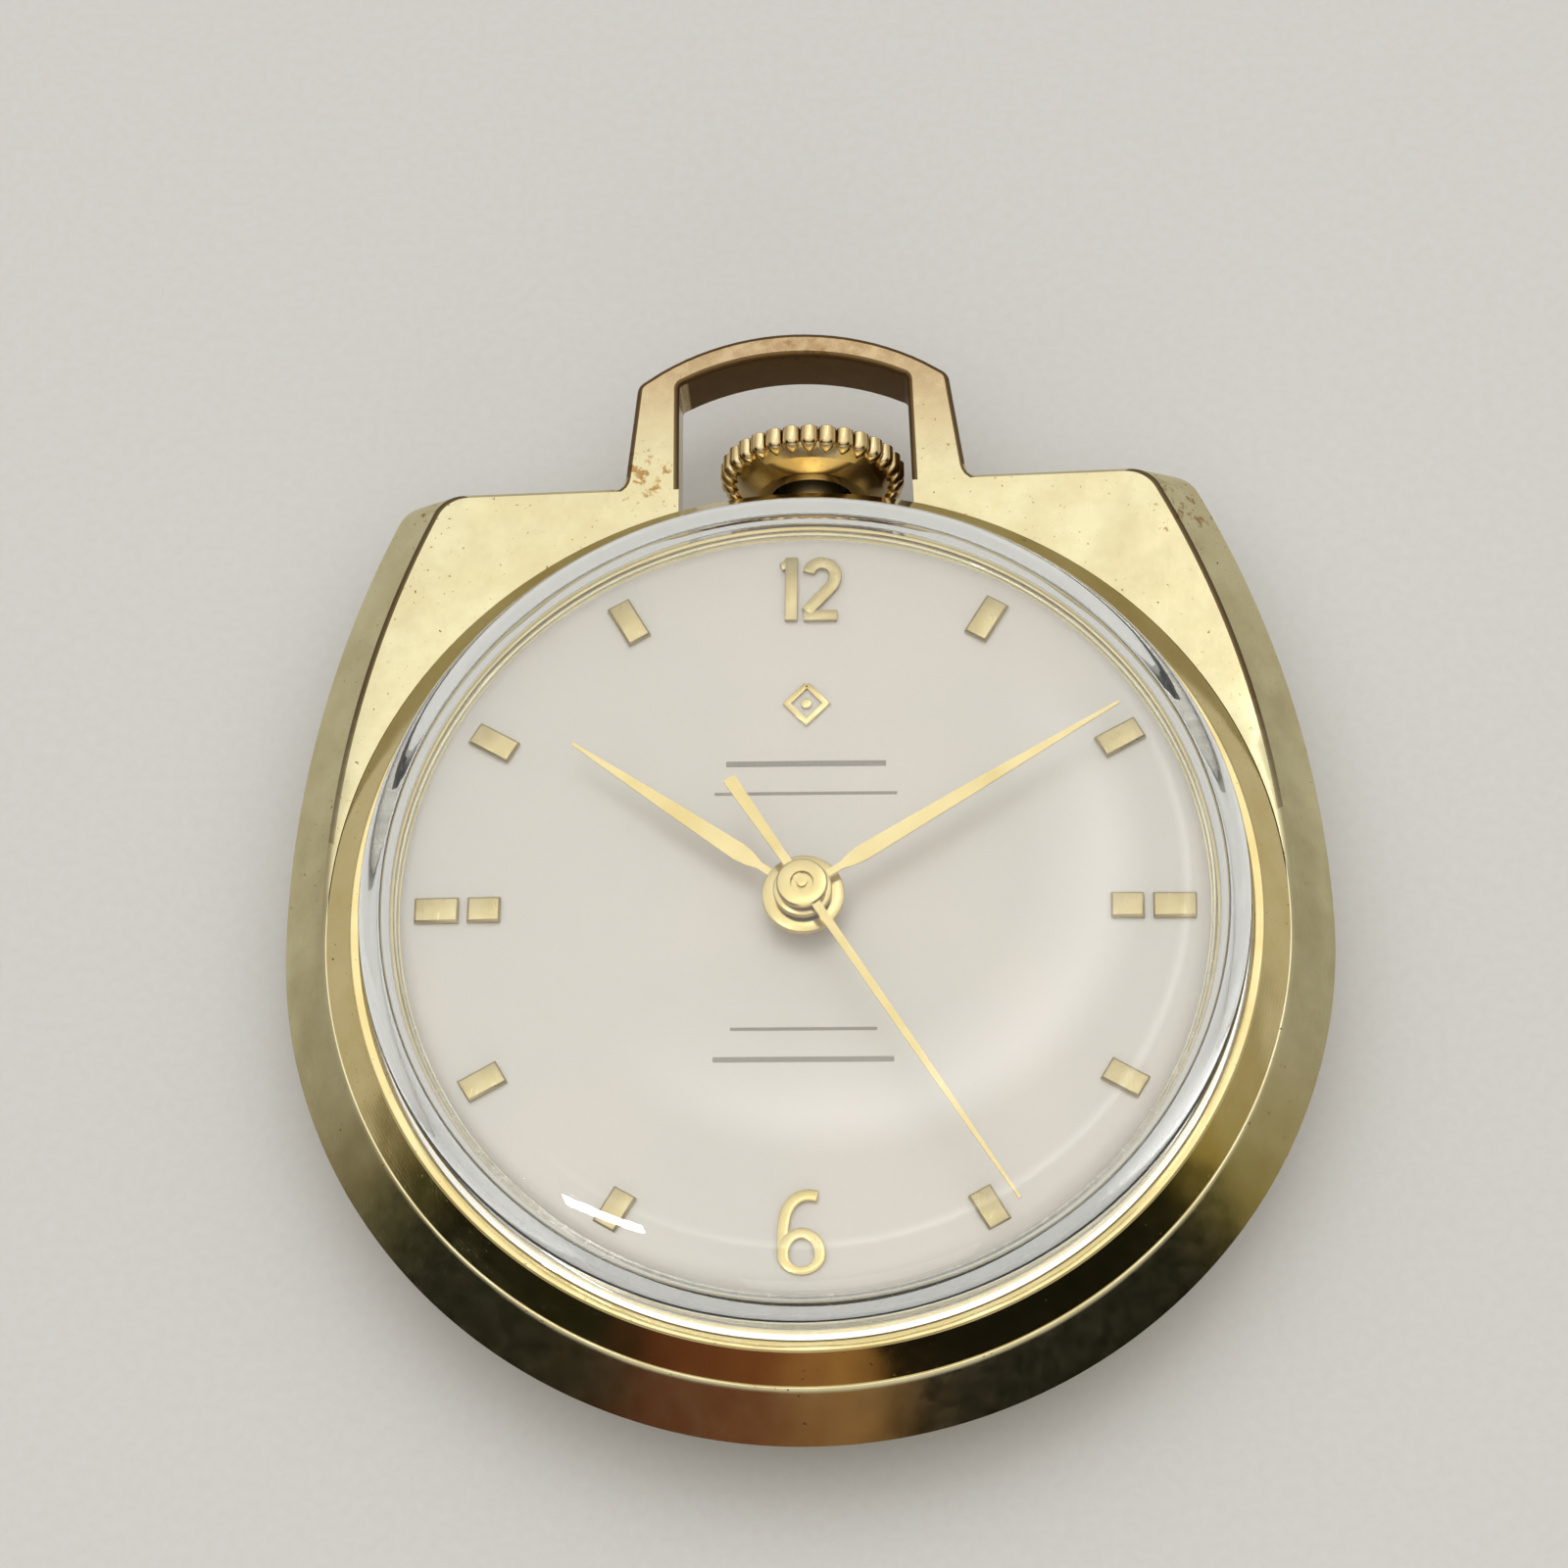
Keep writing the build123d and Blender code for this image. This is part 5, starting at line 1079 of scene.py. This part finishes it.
settle(minute_hand(), "minutes", "applied_gilt", HAND_GILT, "minute_hand")
settle(seconds_hand(), "seconds", "applied_gilt", HAND_GILT, "seconds_hand")

SLOT_MATERIALS = {"gold_plate": CONTAINER_GOLD, "crystal": ACRYLIC, "dial_silver": SILVER,
                  "applied_gilt": HAND_GILT, "movement_nickel": NICKEL, "train_brass": TRAIN_BRASS,
                  "blued_steel": BLUED, "polished_steel": STEEL, "ruby": RUBY, "gasket_rubber": RUBBER}
for entry in frame["record"]["subparts"]:
    node = frame["nodes"][entry["node"]]
    node.data.materials.clear()
    node.data.materials.append(SLOT_MATERIALS[entry["material_slot"]])


# ---- floor, light and camera -------------------------------------------------------------------

def floor():
    """A plain pale table top."""
    bpy.ops.object.select_all(action="DESELECT")
    bpy.ops.mesh.primitive_plane_add(size=3, location=(0, 0, -0.02 * MM))
    obj = bpy.context.object
    material, tree, _, (fine,) = new_material("pale_table", (0.4, 3, 0.5))
    colour = two_tone(tree, fine, 0.3, 0.7, "E1E0DC", "DEDCD8")
    shader = add(tree, "BsdfPrincipled", {"Base Color": colour, "Roughness": 0.6,
                                          "Specular IOR Level": 0.3})[0]
    add(tree, "OutputMaterial", (shader,))
    obj.data.materials.append(material)


def surroundings():
    """A soft pale room: coloured things stand low in front of the table, the ceiling is bright, and a faint
    disc of light with a brighter rim lies where the flat gold faces look."""
    world = bpy.data.worlds.new("studio")
    bpy.context.scene.world = world
    world.use_nodes = True
    tree = world.node_tree
    tree.nodes.clear()
    direction = add(tree, "TexCoord")["Generated"]
    x, y, z = add(tree, "SeparateXYZ", (direction,))
    blotch = add(tree, "TexNoise", {"Vector": direction, "Scale": 3, "Detail": 2})[0]
    stray = add(tree, "Math", (blotch, 0.5), operation="SUBTRACT")[0]
    toward = add(tree, "Math", (y, -1), operation="MULTIPLY")[0]
    bearing = add(tree, "Math", (x, toward), operation="ARCTAN2")[0]
    bearing = add(tree, "Math", (stray, 0.35, bearing), operation="MULTIPLY_ADD")[0]
    near = add(tree, "ValToRGB", (mask(tree, (bearing, -pi / 2, pi / 2, 0, 1)),))[0]
    room = add(tree, "ValToRGB", (z,))[0]
    for colours, stops in ((near, THINGS_IN_FRONT), (room, ROOM_BY_HEIGHT)):
        elements = colours.node.color_ramp.elements
        elements[0].color, elements[1].color = srgb(stops[0][1]), srgb(stops[-1][1])
        for place, code in stops[1:-1]:
            elements.new(place).color = srgb(code)
    height = add(tree, "Math", (stray, 0.25, z), operation="MULTIPLY_ADD")[0]
    low_in_front = mask(tree, (height, 0.50, 0.74, 1, 0), (toward, -0.15, 0.25, 0, 1))
    colour = add(tree, "Mix", {0: low_in_front, 6: room, 7: near}, data_type="RGBA")[2]
    facing = add(tree, "VectorMath", (direction, SEEN_BY_FLATS), operation="DOT_PRODUCT")["Value"]
    slant = add(tree, "Math", (x, y), operation="SUBTRACT")[0]
    strength = ROOM_LIGHT
    for light in (mask(tree, (z, 0.55, 0.95, 0, 0.55)),
                  mask(tree, (y, 0.0, 0.45, 0, 1), (z, 0.5, 0.85, 0, 0.12)),
                  mask(tree, (facing, cos(radians(17)), cos(radians(13)), 0, 0.14)),
                  mask(tree, (facing, cos(radians(16.5)), cos(radians(14.5)), 0, 1),
                       (facing, cos(radians(14)), cos(radians(10)), 1, 0), (slant, -0.45, -0.20, 0, 2.6))):
        strength = add(tree, "Math", (strength, light), operation="ADD")[0]
    back = add(tree, "Background", (colour, strength))[0]
    add(tree, "OutputWorld", (back,))


def lamp(name, place, target, width, length, power, colour, hidden_from):
    """A rectangular lamp that one kind of ray doesn't see, so that it only fills or only glints."""
    data = bpy.data.lights.new(name, "AREA")
    data.shape = "RECTANGLE"
    data.size = width
    data.size_y = length
    data.energy = power
    data.color = srgb(colour)[:3]
    obj = bpy.data.objects.new(name, data)
    obj.location = place
    obj.rotation_euler = (Vector(target) - Vector(place)).to_track_quat("-Z", "Y").to_euler()
    setattr(obj, hidden_from, False)
    bpy.context.scene.collection.objects.link(obj)


def camera():
    data = bpy.data.cameras.new("camera")
    data.lens = 97.1
    data.sensor_width = 36
    data.clip_start = 0.005
    obj = bpy.data.objects.new("camera", data)
    obj.location = (0.00668, -0.05865, 0.14806)
    obj.rotation_euler = (0.423, 0.048, 0.011)
    bpy.context.scene.collection.objects.link(obj)
    bpy.context.scene.camera = obj


# Colours met from left to right in front of the table, and from the horizon up to the ceiling.
THINGS_IN_FRONT = ((0.0, "9A8F72"), (0.05, "857A58"), (0.085, "4A4C38"), (0.12, "23241C"), (0.30, "2A2B20"),
                   (0.345, "6A4030"), (0.45, "8A5A42"), (0.54, "B48C60"), (0.575, "97734C"), (0.59, "1C1B16"),
                   (0.85, "1A1A14"), (0.885, "35341F"), (0.92, "A89C64"), (1.0, "C4B98C"))
ROOM_BY_HEIGHT = ((0.0, "C6C3BB"), (0.45, "DAD8D4"), (0.75, "F0EFED"), (1.0, "FFFFFE"))
ROOM_LIGHT = 0.765
SEEN_BY_FLATS = Vector((-0.02, 0.40, 0.916)).normalized()

floor()
surroundings()
lamp("left_window", (-0.127, 0.006, 0.49), (-0.0066, -0.012, 0.0095), 0.014, 0.05, 0.055, "F8FAFF",
     "visible_diffuse")
lamp("front_fill", (0.10, -0.60, 0.22), (0, 0, 0), 0.50, 0.30, 0.55, "FFFFFF", "visible_glossy")
camera()
bpy.context.scene.view_settings.view_transform = "Standard"
